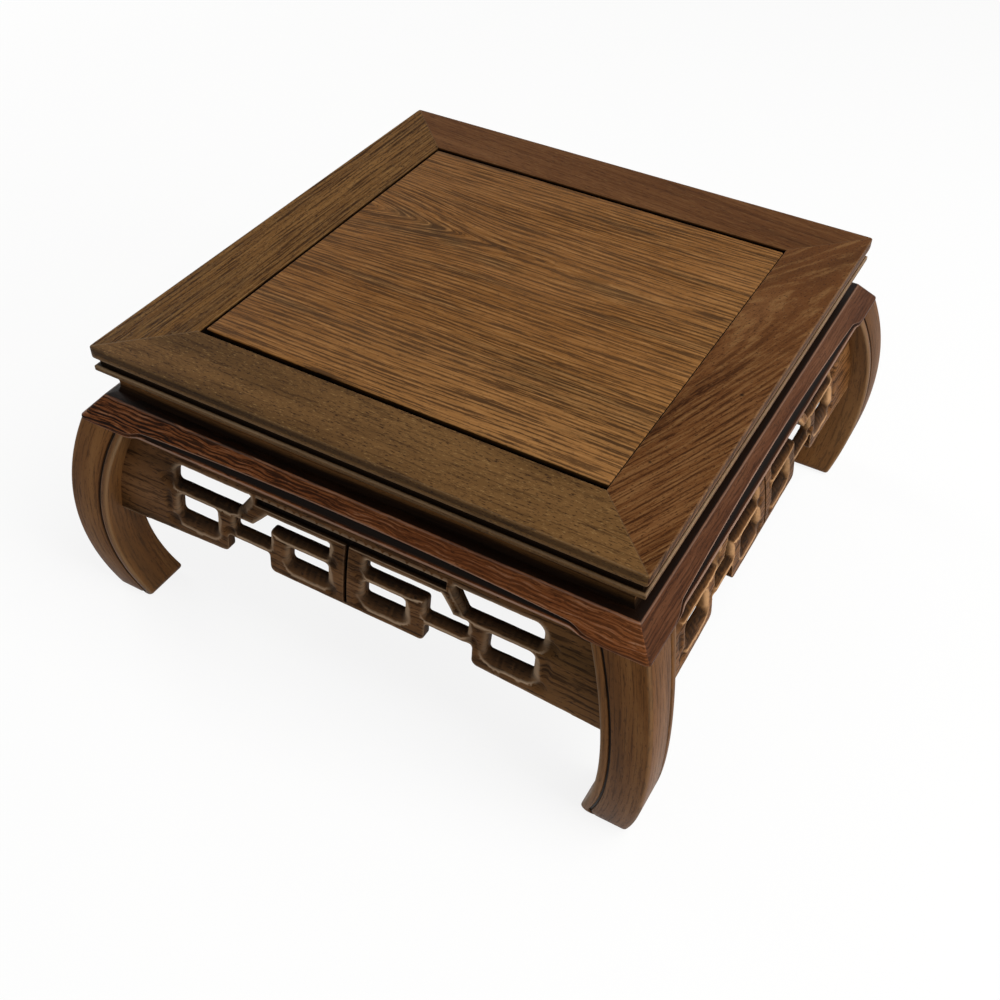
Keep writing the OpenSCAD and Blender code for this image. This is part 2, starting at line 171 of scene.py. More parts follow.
@dataclass(frozen=True)
class Cut:
    """How a piece was sawn from the log, in millimetres.

    The growth rings lie round the pith, so a pith near the face gives flame figure and a far one straight
    lines.

    Attributes:
        grain: direction of the fibres.
        seed: place along the log, so that no two pieces show the same figure.
        centre: the point of the piece that its figure is measured from.
        tilt: degrees that the fibres lie aslant on the top.
        pith: where the pith lay, across the fibres and in height.
        flame: where the pith dips from the face, from and to along the fibres, and how far.
        plain: from and to along the fibres, over which the lines fade, and the share that is left.
        follows: whether the figure is looked up at the "lie" attribute, for fibres that follow a bend.
        knots: small dark rounds, each by its x and y on the top and its radius.
        vee: above 0, the lines fold into chevrons with this round at their tips.
        flame_w: how far from their middle line the chevrons reach.
        patches: soft ovals, each by its centre along and across the fibres, its half sizes and its
        strength, which is above 0 for a smoky place and below 0 for a paler one, a painted pool of light.
    """

    grain: Grain
    seed: float
    centre: Triple = (0.0, 0.0, 0.0)
    tilt: float = 0.0
    pith: Pair = (60.0, -90.0)
    flame: Triple = (0.0, 1.0, 0.0)
    plain: Triple | None = None
    follows: bool = False
    knots: tuple[Triple, ...] = ()
    vee: float = 0.0
    flame_w: float = 45.0
    patches: tuple[tuple[float, float, float, float, float], ...] = ()

    def mapping(self) -> tuple[Triple, Triple]:
        """Rotation and shift that bring the fibres to local X and the piece's centre to the origin.

        Returns:
            Euler angles in radians and the shift in millimetres.
        """
        turn = np.radians(np.array(self.grain.value) + np.array([0.0, 0.0, self.tilt]))
        place = Euler(turn.tolist()).to_matrix() @ Vector(self.centre)
        return tuple(turn.tolist()), tuple(-place)


@dataclass(frozen=True)
class WoodFinish:
    """Chicken-wing hardwood, scraped smooth and waxed: brown with fine dark lines along the fibres.

    The rings' lines follow the saw cut, pores are short dark dashes and pale flecks catch the light beside
    them. Arrises are rubbed paler and carry painted highlights, and grooves and recesses hold dark wax and
    painted shade. Names that end in _mm are real sizes; a pair of them is a length along the fibres and a
    width across them. Shares run from 0 to 1. An edge is the pair of values between which a mark grows from
    nothing to its full share.
    """

    name: str
    deep: str
    mid: str
    pale: str
    line: str
    smoke: str = "#3f3018"
    rubbed_and_highlight: str = "#8d6642"
    fleck: str = "#96784c"
    wax: str = "#0c0603"
    lit: str = "#a0733f"
    # Growth rings: spacing, how even they are, how far they wander and how often in a ring, then the fine
    # lines that break them up, with the octaves and the roughness of those
    pitch_mm: float = 1.4
    even: float = 0.16
    wander: float = 14.0
    wander_pace: float = 0.6
    line_mm: float = 0.75
    line_detail: Pair = (3.0, 0.7)
    stretch: float = 26.0
    drift: float = 0.2
    sway_mm: float = 5.0
    sway_run_mm: Pair = (111.1, 33.3)
    ripple_mm: float = 0.0
    ripple_run_mm: Pair = (11.11, 6.667)
    # Slow changes of tone
    band_mm: float = 6.0
    band_detail: Pair = (3.0, 0.6)
    cloud_mm: Pair = (71.43, 20.0)
    cloud_detail: float = 2.0
    cloud_share: float = 0.4
    tone_stops: Triple = (0.36, 0.5, 0.64)
    smoke_share: float = 0.35
    smoke_edge: Pair = (0.47, 0.36)
    patch_edge: Pair = (1.0, 0.1)
    # Dark lines, and the painted highlights between them, whose edge is counted from the lines' own
    line_share: float = 0.75
    line_edge: Pair = (0.53, 0.38)
    thin_share: float = 0.8
    thin_edge: Pair = (0.35, 0.6)
    lit_share: float = 0.0
    lit_edge: Pair = (0.05, 0.25)
    # Pores and flecks, drawn about three times as broad as real ones, so that they show in the render
    dash_mm: Pair = (2.0, 0.42)
    pore_share: float = 0.5
    pore_edge: Pair = (0.6, 0.7)
    fleck_share: float = 0.0
    fleck_edge: Pair = (0.36, 0.26)
    # Knots, with their edge in radii
    knot_share: float = 0.85
    knot_edge: Pair = (1.5, 0.4)
    # Satin wax, duller on the dark lines, over a slight relief of the open grain
    roughness: float = 0.44
    line_rough: float = 0.14
    shine: float = 0.14
    relief: float = 0.6
    relief_mm: float = 0.05

    def streaks(self, tree: Tree, cut: Cut, place: Socket, run_mm: Pair, detail: float = 1.0) -> Socket:
        """Soft blotches stretched along the fibres.

        Args:
            tree: the node tree.
            cut: how the piece was sawn.
            place: position in millimetres, fibres along X.
            run_mm: length and width of a blotch.
            detail: octaves of finer noise.

        Returns:
            A value about one half.
        """
        along, across = run_mm
        spot = add(tree, "ShaderNodeMapping", {
            "Vector": place, "Location": (cut.seed, 0.0, 0.0),
            "Scale": (1 / along, 1 / across, 1 / across)})
        return add(tree, "ShaderNodeTexNoise", {
            "Vector": spot.outputs[0], "Scale": 1.0, "Detail": detail}).outputs["Fac"]

    def chevrons(self, tree: Tree, cut: Cut, across: Socket, dip: Socket) -> Socket:
        """Ring distance in a flame: the offset from its middle line, less what the pith dips near that line.

        Args:
            tree: the node tree.
            cut: how the piece was sawn.
            across: offset from the pith across the fibres.
            dip: how far the pith has dipped.

        Returns:
            The distance in millimetres.
        """
        total = add(tree, "ShaderNodeMath", {0: across, 1: across, 2: cut.vee ** 2},
                    operation="MULTIPLY_ADD")
        aslant = add(tree, "ShaderNodeMath", {0: total.outputs[0]}, operation="SQRT").outputs[0]
        near = add(tree, "ShaderNodeMapRange", {
            "Value": aslant, "From Max": cut.flame_w, "To Min": 1.0,
            "To Max": 0.0}, interpolation_type="SMOOTHSTEP")
        ahead = add(tree, "ShaderNodeMath", {0: dip, 1: cut.flame[2]}, operation="SUBTRACT")
        return add(tree, "ShaderNodeMath", {0: ahead.outputs[0], 1: near.outputs[0], 2: aslant},
                   operation="MULTIPLY_ADD").outputs[0]

    def rounds(self, tree: Tree, cut: Cut, across: Socket, dip: Socket, height: Socket) -> Socket:
        """Ring distance elsewhere: the root of the squares of the offsets across the fibres and in height.

        Args:
            tree: the node tree.
            cut: how the piece was sawn.
            across: offset from the pith across the fibres.
            dip: how far the pith has dipped.
            height: position in height.

        Returns:
            The distance in millimetres.
        """
        sunk = add(tree, "ShaderNodeMath", {0: dip, 1: height}, operation="ADD")
        below = add(tree, "ShaderNodeMath", {0: sunk.outputs[0], 1: cut.pith[1]}, operation="SUBTRACT")
        square = add(tree, "ShaderNodeMath", {0: below.outputs[0], 1: 2.0}, operation="POWER")
        total = add(tree, "ShaderNodeMath", {0: across, 1: across, 2: square.outputs[0]},
                    operation="MULTIPLY_ADD")
        return add(tree, "ShaderNodeMath", {0: total.outputs[0]}, operation="SQRT").outputs[0]

    def rings(self, tree: Tree, cut: Cut, place: Socket) -> Socket:
        """Place among the growth rings: the distance from the pith, swayed slowly and rippled quickly.

        Args:
            tree: the node tree.
            cut: how the piece was sawn.
            place: position in millimetres, fibres along X.

        Returns:
            A vector of the squeezed length along the fibres, the ring distance and a little of the width.
        """
        sway = self.streaks(tree, cut, place, self.sway_run_mm)
        ripples = self.streaks(tree, cut, place, self.ripple_run_mm)
        axes = add(tree, "ShaderNodeSeparateXYZ", {0: place}).outputs
        swayed = add(tree, "ShaderNodeMath", {0: sway, 1: self.sway_mm, 2: axes["Y"]},
                     operation="MULTIPLY_ADD")
        across = add(tree, "ShaderNodeMath", {0: swayed.outputs[0], 1: cut.pith[0]},
                     operation="SUBTRACT").outputs[0]
        dip = add(tree, "ShaderNodeMapRange", {
            "Value": axes["X"], "From Min": cut.flame[0],
            "From Max": cut.flame[1], "To Max": cut.flame[2]},
                  interpolation_type="SMOOTHSTEP").outputs[0]
        if cut.vee > 0.0:
            smooth = self.chevrons(tree, cut, across, dip)
        else:
            smooth = self.rounds(tree, cut, across, dip, axes["Z"])
        distance = add(tree, "ShaderNodeMath", {0: ripples, 1: self.ripple_mm, 2: smooth},
                       operation="MULTIPLY_ADD")
        spread = add(tree, "ShaderNodeMath", {0: axes["X"], 1: 1.0 / self.stretch, 2: cut.seed},
                     operation="MULTIPLY_ADD")
        aside = add(tree, "ShaderNodeMath", {0: axes["Y"], 1: self.drift}, operation="MULTIPLY")
        return add(tree, "ShaderNodeCombineXYZ", {
            "X": spread.outputs[0], "Y": distance.outputs[0], "Z": aside.outputs[0]}).outputs[0]

    def figure(self, tree: Tree, rings: Socket) -> Socket:
        """Strength of the wood's lines: a sine of the ring distance, wandering, broken up by fine noise.

        Args:
            tree: the node tree.
            rings: place among the growth rings.

        Returns:
            A value about one half, low on the dark lines and high on the pale ones between them.
        """
        wander = add(tree, "ShaderNodeTexNoise", {
            "Vector": rings, "Detail": 1.0, "Scale": self.wander_pace / self.pitch_mm})
        fine = add(tree, "ShaderNodeTexNoise", {
            "Vector": rings, "Scale": 1 / self.line_mm, "Detail": self.line_detail[0],
            "Roughness": self.line_detail[1]})
        axes = add(tree, "ShaderNodeSeparateXYZ", {0: rings})
        turns = add(tree, "ShaderNodeMath", {0: axes.outputs["Y"], 1: 2 * np.pi / self.pitch_mm},
                    operation="MULTIPLY")
        phase = add(tree, "ShaderNodeMath", {0: wander.outputs["Fac"], 1: self.wander,
                                             2: turns.outputs[0]}, operation="MULTIPLY_ADD")
        wave = add(tree, "ShaderNodeMath", {0: phase.outputs[0]}, operation="SINE")
        return add(tree, "ShaderNodeMath", {0: wave.outputs[0], 1: self.even, 2: fine.outputs["Fac"]},
                   operation="MULTIPLY_ADD").outputs[0]

    def lines(self, tree: Tree, cut: Cut, place: Socket, figure: Socket, bands: Socket) -> Socket:
        """How much the dark lines show: less on the paler bands, and faded where the piece is plain.

        Args:
            tree: the node tree.
            cut: how the piece was sawn.
            place: position in millimetres, fibres along X.
            figure: strength of the wood's lines.
            bands: slow change of tone along the rings.

        Returns:
            The share that shows.
        """
        dark = add(tree, "ShaderNodeMapRange", {
            "Value": figure, "From Min": self.line_edge[0],
            "From Max": self.line_edge[1], "To Max": self.line_share})
        shown = dark.outputs[0]
        fades = [(bands, *self.thin_edge, self.thin_share)]
        if cut.plain is not None:
            fades.append((add(tree, "ShaderNodeSeparateXYZ", {0: place}).outputs["X"], *cut.plain))
        for value, start, end, left in fades:
            faded = add(tree, "ShaderNodeMapRange", {
                "Value": value, "From Min": start, "From Max": end,
                "To Min": 1.0, "To Max": left}).outputs[0]
            shown = add(tree, "ShaderNodeMath", {0: shown, 1: faded}, operation="MULTIPLY").outputs[0]
        return shown

    def patches(self, tree: Tree, cut: Cut, place: Socket) -> list[Coat]:
        """The soft ovals of the cut: each fades evenly from its middle to its rim.

        Args:
            tree: the node tree.
            cut: how the piece was sawn.
            place: position in millimetres, fibres along X.

        Returns:
            A smoky coat, or a paler one that is a painted pool of light, for each oval.
        """
        coats = []
        for x, y, half_l, half_w, strength in cut.patches:
            spot = add(tree, "ShaderNodeMapping", {
                "Vector": place, "Scale": (1 / half_l, 1 / half_w, 0.0),
                "Location": (-x / half_l, -y / half_w, 0.0)})
            away = add(tree, "ShaderNodeVectorMath", {0: spot.outputs[0]}, operation="LENGTH")
            shade = self.smoke if strength > 0.0 else self.lit
            coats.append((away.outputs["Value"], self.patch_edge, abs(strength), shade))
        return coats

    def knots(self, tree: Tree, cut: Cut, metric: Socket) -> list[Coat]:
        """The knots of the cut: dark rounds that fade out a little past their radius.

        Args:
            tree: the node tree.
            cut: how the piece was sawn.
            metric: position in millimetres, unturned.

        Returns:
            A dark coat for each knot.
        """
        coats = []
        for x, y, radius in cut.knots:
            away = add(tree, "ShaderNodeVectorMath", {0: metric, 1: (x, y, cut.centre[2])},
                       operation="DISTANCE").outputs["Value"]
            edge = (self.knot_edge[0] * radius, self.knot_edge[1] * radius)
            coats.append((away, edge, self.knot_share, self.wax))
        return coats

    def browns(self, tree: Tree, tone: Socket) -> Socket:
        """Brown under all the marks: three tones in a row.

        Args:
            tree: the node tree.
            tone: where along the row.

        Returns:
            The colour.
        """
        row = add(tree, "ShaderNodeValToRGB", {"Fac": tone})
        stops = row.color_ramp.elements
        stops.new(self.tone_stops[1])
        for stop, place, colour in zip(stops, self.tone_stops, (self.deep, self.mid, self.pale)):
            stop.position = place
            stop.color = linear(colour)
        return row.outputs["Color"]

    def material(self, label: str, cut: Cut) -> Material:
        """Make the finish for one piece, as coats of colour laid one over another.

        Args:
            label: name of the piece.
            cut: how the piece was sawn.

        Returns:
            The material.
        """
        result = bpy.data.materials.new(f"waxed_chicken_wing_{self.name}_{label}")
        result.use_nodes = True
        tree = result.node_tree
        tree.nodes.clear()
        if cut.follows:
            coords = add(tree, "ShaderNodeAttribute", attribute_name="lie").outputs["Vector"]
        else:
            coords = add(tree, "ShaderNodeTexCoord").outputs["Object"]
        metric = add(tree, "ShaderNodeMapping", {
            "Vector": coords, "Scale": (1 / MM, 1 / MM, 1 / MM)}).outputs[0]
        turn, shift = cut.mapping()
        place = add(tree, "ShaderNodeMapping", {
            "Vector": metric, "Rotation": turn, "Location": shift}).outputs[0]
        rings = self.rings(tree, cut, place)
        figure = self.figure(tree, rings)
        bands = add(tree, "ShaderNodeTexNoise", {
            "Vector": rings, "Scale": 1 / self.band_mm, "Detail": self.band_detail[0],
            "Roughness": self.band_detail[1]}).outputs["Fac"]
        cloud = self.streaks(tree, cut, place, self.cloud_mm, self.cloud_detail)
        dashes = self.streaks(tree, cut, place, self.dash_mm)
        tone = add(tree, "ShaderNodeMix", {0: self.cloud_share, FIRST: bands, SECOND: cloud}).outputs[0]
        lit_edge = (self.line_edge[0] + self.lit_edge[0], self.line_edge[0] + self.lit_edge[1])
        lines = self.lines(tree, cut, place, figure, bands)
        pores = add(tree, "ShaderNodeMapRange", {
            "Value": dashes, "From Min": self.pore_edge[0], "From Max": self.pore_edge[1],
            "To Max": self.pore_share}).outputs[0]
        # Wear with painted highlights, paler in patches, and dark wax with painted shade, each read from the
        # mesh
        wear_and_highlight = add(tree, "ShaderNodeAttribute", attribute_name="wear_and_highlight").outputs["Fac"]
        patchy_wear_and_highlight = add(tree, "ShaderNodeMath", {0: wear_and_highlight, 1: cloud}, operation="MULTIPLY").outputs[0]
        wax_and_shade = add(tree, "ShaderNodeAttribute", attribute_name="wax_and_shade").outputs["Fac"]
        coats = [(tone, self.smoke_edge, self.smoke_share, self.smoke),
                 *self.patches(tree, cut, place),
                 (figure, lit_edge, self.lit_share, self.lit),
                 (lines, WHOLE, 1.0, self.line),
                 (pores, WHOLE, 1.0, self.line),
                 (dashes, self.fleck_edge, self.fleck_share, self.fleck),
                 *self.knots(tree, cut, metric),
                 (patchy_wear_and_highlight, WHOLE, 1.0, self.rubbed_and_highlight),
                 (wax_and_shade, WHOLE, 1.0, self.wax)]
        colour = self.browns(tree, tone)
        for value, edge, most, shade in coats:
            share = add(tree, "ShaderNodeMapRange", {
                "Value": value, "From Min": edge[0], "From Max": edge[1], "To Max": most}).outputs[0]
            colour = add(tree, "ShaderNodeMix", {0: share, UNDER: colour, OVER: linear(shade)},
                         data_type="RGBA").outputs[MIXED]
        gloss = add(tree, "ShaderNodeMath", {0: lines, 1: self.line_rough, 2: self.roughness},
                    operation="MULTIPLY_ADD").outputs[0]
        height = add(tree, "ShaderNodeMath", {0: pores, 1: lines}, operation="ADD").outputs[0]
        bump = add(tree, "ShaderNodeBump", {
            "Height": height, "Strength": self.relief, "Distance": self.relief_mm * MM}, invert=True)
        shader = add(tree, "ShaderNodeBsdfPrincipled", {
            "Base Color": colour, "Roughness": gloss, "Specular IOR Level": self.shine,
            "Normal": bump.outputs["Normal"]})
        add(tree, "ShaderNodeOutputMaterial", {"Surface": shader.outputs["BSDF"]})
        return result


# Panel: flat-sawn, scraped and waxed, so a flame of dark lines with painted highlights and smoky places
# between
PANEL_WOOD = WoodFinish("panel", "#54300c", "#643d12", "#754a1e", "#170800", line_share=1.0, line_mm=0.6,
                        line_edge=(0.482, 0.424), stretch=22.0, smoke="#2b230e", smoke_share=0.7,
                        pore_share=0.6, lit="#a47746", lit_share=0.6, pitch_mm=2.2, even=0.1, shine=0.025)
# Front member: cut aslant of the rings and much handled, so pores and pale flecks show more than lines
FRAME_WOOD = WoodFinish("frame", "#4e361d", "#5e4326", "#6b4d2c", "#20120a", line_share=0.55, line_mm=0.5,
                        line_edge=(0.46, 0.36), fleck_share=0.45, rubbed_and_highlight="#857058", smoke="#41311a",
                        smoke_share=0.25, pore_share=0.85, pitch_mm=1.4, even=0.06, dash_mm=(1.4, 0.38),
                        shine=0.025)
# Left member: the same wood cut nearer the quarter, so close dark lines run straight along it
SIDE_WOOD = replace(FRAME_WOOD, name="side", mid="#5c3d1b", pale="#6e4c26", line="#261404", line_share=0.95,
                    line_mm=0.55, line_edge=(0.46, 0.38), fleck_share=0.3, stretch=30.0, pitch_mm=1.4,
                    even=0.09, lit="#86653a", lit_share=0.45)
# Right member: a redder board with its fibres aslant, so lines cross it and run out to plain brown
RED_WOOD = replace(FRAME_WOOD, name="red", deep="#4a2911", mid="#5a371b", pale="#6a4628", line="#220d02",
                   line_share=0.8, line_edge=(0.455, 0.385), fleck_share=0.15, line_mm=0.5, stretch=26.0,
                   pitch_mm=1.5, even=0.09, lit="#84623c", lit_share=0.45)
# Back member: the redder board again, rubbed smooth, so it is nearly plain
BACK_WOOD = replace(RED_WOOD, name="back", mid="#56351a", pale="#613f23", line_share=0.3, pore_share=0.5,
                    lit_share=0.1, dash_mm=(3.0, 0.5))
# Rails: moulded across rippled rings and waxed, so near-black wavy stripes lie on red-brown
RAIL_WOOD = WoodFinish("rail", "#542a12", "#6c3d1e", "#7e4e2c", "#080200", line_share=1.0, line_mm=0.4,
                       stretch=24.0, ripple_mm=1.8, line_edge=(0.55, 0.46), smoke="#2c1408",
                       rubbed_and_highlight="#8c6f5e", lit="#a88266", lit_share=0.45, pitch_mm=1.0, even=0.09, wander=12.0,
                       shine=0.05)
# Right rail: a calmer and darker length of the same stock
CALM_RAIL_WOOD = replace(RAIL_WOOD, name="calm_rail", deep="#361c0e", mid="#472815", pale="#583722",
                         line="#180a04", line_share=0.6, line_edge=(0.5, 0.38), even=0.08, lit="#704b35",
                         lit_share=0.3, ripple_mm=1.5)
# Waist: hollowed with a scraper and never rubbed, so it stays dull
WAIST_WOOD = WoodFinish("waist", "#5a3b1e", "#6e4a28", "#805833", "#20120a", rubbed_and_highlight="#4a3424", shine=0.02,
                        roughness=0.6)
# Aprons: sawn and filed, so the grain stays coarse and open, and raised edges are rubbed pale and carry
# painted highlights
FRET_WOOD = WoodFinish("fret", "#472d15", "#5f4025", "#725033", "#160a03", rubbed_and_highlight="#b59a7e",
                       line_share=0.75, line_mm=0.55, line_edge=(0.49, 0.39), smoke="#3e2e1a",
                       relief_mm=0.1, shine=0.03, pore_share=0.7, pitch_mm=1.6, even=0.08,
                       dash_mm=(2.4, 0.5))
# Right apron: the same filed finish made warmer and paler, as painted light from the lamp on the right side
LIT_FRET_WOOD = replace(FRET_WOOD, name="lit_fret", deep="#4c2d12", mid="#684323", pale="#7d5632",
                         rubbed_and_highlight="#c09468")
# Legs: shaped with spokeshave and scraper, so they are the smoothest, with a satin shine and calm lines
LEG_WOOD = WoodFinish("leg", "#4e3014", "#613d1c", "#744f2b", "#261406", rubbed_and_highlight="#937a5c", line_share=0.55,
                      line_mm=0.5, line_edge=(0.47, 0.37), smoke="#52341a", stretch=16.0, shine=0.06,
                      pore_share=0.5, pitch_mm=1.5, even=0.09, sway_mm=3.0)
# Batten: planed and left in the dark under the panel, so it is a plain dark brown
HIDDEN_WOOD = WoodFinish("hidden", "#35210f", "#4a311f", "#5c4230", "#1c0f07")

# Two small knots in the right member, as x, y and radius
KNOTS = ((92.4, -13.7, 0.7), (80.7, -57.6, 0.5))
# Smoky places of the panel's flame and of the streak right of it, then painted light that makes its front
# and right paler
PANEL_PATCHES = ((-58.4, 23.9, 11.0, 5.5, 0.75), (-44.0, 20.5, 10.0, 6.5, 0.75),
                 (-31.0, 15.8, 10.0, 4.5, 0.75), (-12.0, 12.0, 14.0, 4.0, 0.75),
                 (33.0, 17.0, 24.0, 5.5, 0.75), (45.0, -75.0, 120.0, 66.0, -0.4),
                 (90.0, 25.0, 50.0, 75.0, -0.25))
# Painted light that makes the right end of the front member paler, counted from the member's own middle
FRONT_LIGHT_POOL = ((85.0, 0.0, 70.0, 40.0, -0.1),)
# Painted light that makes the right end of the front apron paler, counted from the stand's middle
FRET_LIGHT_POOL = ((84.0, -103.0, 30.0, 40.0, -0.13),)


@dataclass
class Surface:
    """A mesh in the making: points in millimetres, faces, how rubbed each point is with painted highlight,
    and how dark with wax and painted shade.

    The lie, where given, is where each point looks up the wood's figure, for fibres that follow a bend.
    """

    points: Array
    faces: Faces
    wear_and_highlight: Array
    wax_and_shade: Array
    lie: Array | None = None

    def piece(self, name: str, node: str, slot: str, material: Material) -> None:
        """Put the surface into the scene in place of a CAD node, riding on the root body.

        Args:
            name: name of the new object.
            node: the CAD node that it stands for.
            slot: material slot of the record; not used.
            material: the finish.
        """
        mesh = bpy.data.meshes.new(name)
        mesh.from_pydata((self.points * MM).tolist(), [], self.faces)
        for label, values in (("wear_and_highlight", self.wear_and_highlight), ("wax_and_shade", self.wax_and_shade)):
            layer = mesh.attributes.new(label, "FLOAT", "POINT")
            layer.data.foreach_set("value", values.astype(np.float32))
        if self.lie is not None:
            layer = mesh.attributes.new("lie", "FLOAT_VECTOR", "POINT")
            layer.data.foreach_set("vector", (self.lie * MM).astype(np.float32).ravel())
        mesh.shade_smooth()
        mesh.set_sharp_from_angle(angle=np.radians(CRISP_DEG))
        mesh.materials.append(material)
        mesh.update()
        result = bpy.data.objects.new(name, mesh)
        bpy.context.scene.collection.objects.link(result)
        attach(result, "root")
        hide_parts(node)
        LOG.info("%s stands for %s with %d faces", name, node, len(self.faces))


def band_faces(numbers: Array) -> Array:
    """Quads between rings of points.

    Args:
        numbers: point numbers, ring by ring; the last point of a ring joins its first.

    Returns:
        One row of four point numbers for each quad.
    """
    looped = np.hstack([numbers, numbers[:, :1]])
    quads = np.stack([looped[:-1, :-1], looped[:-1, 1:], looped[1:, 1:], looped[1:, :-1]], axis=-1)
    return quads.reshape(-1, 4)


def tube_faces(rings: int, points: int) -> Faces:
    """Faces of a closed tube: quads between its rings, and one face over each end.

    Args:
        rings: count of rings.
        points: count of points in a ring.

    Returns:
        Faces as lists of point numbers, outwards where a ring runs anticlockwise seen from the last one.
    """
    numbers = np.arange(rings * points).reshape(rings, points)
    return band_faces(numbers).tolist() + [numbers[0, ::-1].tolist(), numbers[-1].tolist()]


def fillet(corners: Array, radii: Array, steps: int = 6) -> Array:
    """Round the corners of a closed outline.

    Each corner becomes an arc that touches both its edges: its centre lies on the corner's bisector at
    radius / sin(half angle), and the arc's directions are spread evenly between the two edges' normals.

    Args:
        corners: the outline's corners in order.
        radii: one radius for each corner, 0 for a sharp one.
        steps: count of arc pieces at each corner.

    Returns:
        The outline's points, without doubles.
    """
    before = np.roll(corners, 1, axis=0) - corners
    after = np.roll(corners, -1, axis=0) - corners
    before = before / np.linalg.norm(before, axis=1, keepdims=True)
    after = after / np.linalg.norm(after, axis=1, keepdims=True)
    half = np.arccos(np.clip((before * after).sum(1), -1.0, 1.0)) / 2
    bisector = before + after
    bisector = bisector / np.maximum(np.linalg.norm(bisector, axis=1, keepdims=True), TINY)
    centre = corners + bisector * (radii / np.sin(half))[:, None]
    touch = (radii / np.tan(half))[:, None]
    first = corners + before * touch - centre
    last = corners + after * touch - centre
    omega = np.pi - 2 * half
    t = np.linspace(0.0, 1.0, steps + 1)
    share = np.maximum(np.sin(omega), TINY)[:, None]
    a = np.sin((1 - t)[None, :] * omega[:, None]) / share
    b = np.sin(t[None, :] * omega[:, None]) / share
    arcs = centre[:, None, :] + a[..., None] * first[:, None, :] + b[..., None] * last[:, None, :]
    points = arcs.reshape(-1, 2)
    gap = np.linalg.norm(points - np.roll(points, 1, axis=0), axis=1)
    return points[gap > SMALL]


def densify(loop: Array, step: float) -> Array:
    """Add points to a closed outline so that none of its edges is longer than a step.

    Args:
        loop: the outline.
        step: longest edge that stays.

    Returns:
        The outline with each edge cut into equal pieces.
    """
    nxt = np.roll(loop, -1, axis=0)
    count = np.maximum(1, np.ceil(np.linalg.norm(nxt - loop, axis=1) / step)).astype(int)
    start = np.repeat(loop, count, axis=0)
    end = np.repeat(nxt, count, axis=0)
    number = np.arange(count.sum()) - np.repeat(np.cumsum(count) - count, count)
    share = (number / np.repeat(count, count))[:, None]
    return start + (end - start) * share


def inward(loop: Array) -> Array:
    """Mitred normals of a closed outline: the sum of both edges' normals, over one plus their dot product.

    Args:
        loop: the outline.

    Returns:
        One normal for each point, to the outline's left, that moves both edges there by one unit.
    """
    edge = np.roll(loop, -1, axis=0) - loop
    edge = edge / np.linalg.norm(edge, axis=1, keepdims=True)
    normal = np.stack([-edge[:, 1], edge[:, 0]], axis=1)
    previous = np.roll(normal, 1, axis=0)
    dot = (normal * previous).sum(1, keepdims=True)
    return (normal + previous) / np.maximum(1.0 + dot, MITRE_LEAST)


def ripple(values: Array, wave: float, phase: float) -> Array:
    """Slow uneven waviness of a hand-worked edge: three sines of unlike lengths.

    Args:
        values: lengths along the edge.
        wave: length of the longest wave.
        phase: where it starts, in radians.

    Returns:
        Values from about -1 to 1.
    """
    angle = 2 * np.pi * values / wave + phase
    return sum(strength * np.sin(pace * angle + lead) for strength, pace, lead in RIPPLES) / 2.0


@dataclass
class Stand:
    """Sizes that the pieces share, in millimetres, read off the CAD frame's boxes."""

    half: float
    top_z: float
    frame_z: float
    open_half: float
    waist_z: float
    rail_z: float
    rail_r: float
    rail_in_r: float
    belly_r: float

    @classmethod
    def measure(cls) -> "Stand":
        """Read the shared sizes off the CAD nodes.

        Returns:
            The sizes.
        """
        frame_low, frame_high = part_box("top_frame_front")
        rail_low, rail_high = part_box("apron_rail_front")
        _, leg_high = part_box("leg_front_right")
        return cls(half=-frame_low.y / MM, top_z=frame_high.z / MM, frame_z=frame_low.z / MM,
                   open_half=-frame_high.y / MM, waist_z=rail_high.z / MM, rail_z=rail_low.z / MM,
                   rail_r=-rail_low.y / MM, rail_in_r=-rail_high.y / MM, belly_r=leg_high.x / MM)


def mitred(profile: Array, share: Array, gap: Array | float, corner: float = 0.0, corner_r: float = 0.0,
           corner_low: float = 0.0) -> Array:
    """Carry a closed section along the front side and stop it at the mitres.

    A section point at distance r runs from x = -(r - gap) to x = r - gap at y = -r, so both ends lie on the
    45 degree planes. Above corner_low, points beyond the corner's centre are drawn back on to its arc.

    Args:
        profile: the section as (distance outwards, height).
        share: stations along the side, from -1 at its left end to 1 at its right end.
        gap: half width of the open mitre, for all section points or for each.
        corner: half side of the square whose corners are rounded.
        corner_r: radius of that rounding.
        corner_low: height above which it applies.

    Returns:
        Points as an array of stations, section points and (x, y, z).
    """
    distance, height = (np.broadcast_to(values, (len(share), len(profile))) for values in profile.T)
    x = share[:, None] * (distance - gap)
    if corner_r > 0.0:
        centre = corner - corner_r
        dx = np.abs(x) - centre
        dy = distance - centre
        reach = np.maximum(np.hypot(dx, dy), SMALL)
        allowed = np.maximum(dy, SMALL)
        outside = (dx > 0) & (dy > 0) & (reach > allowed) & (height > corner_low)
        scale = np.where(outside, allowed / reach, 1.0)
        x = np.where(outside, np.sign(x) * (centre + dx * scale), x)
        distance = np.where(outside, centre + dy * scale, distance)
    return np.stack([x, -distance, height], axis=-1)


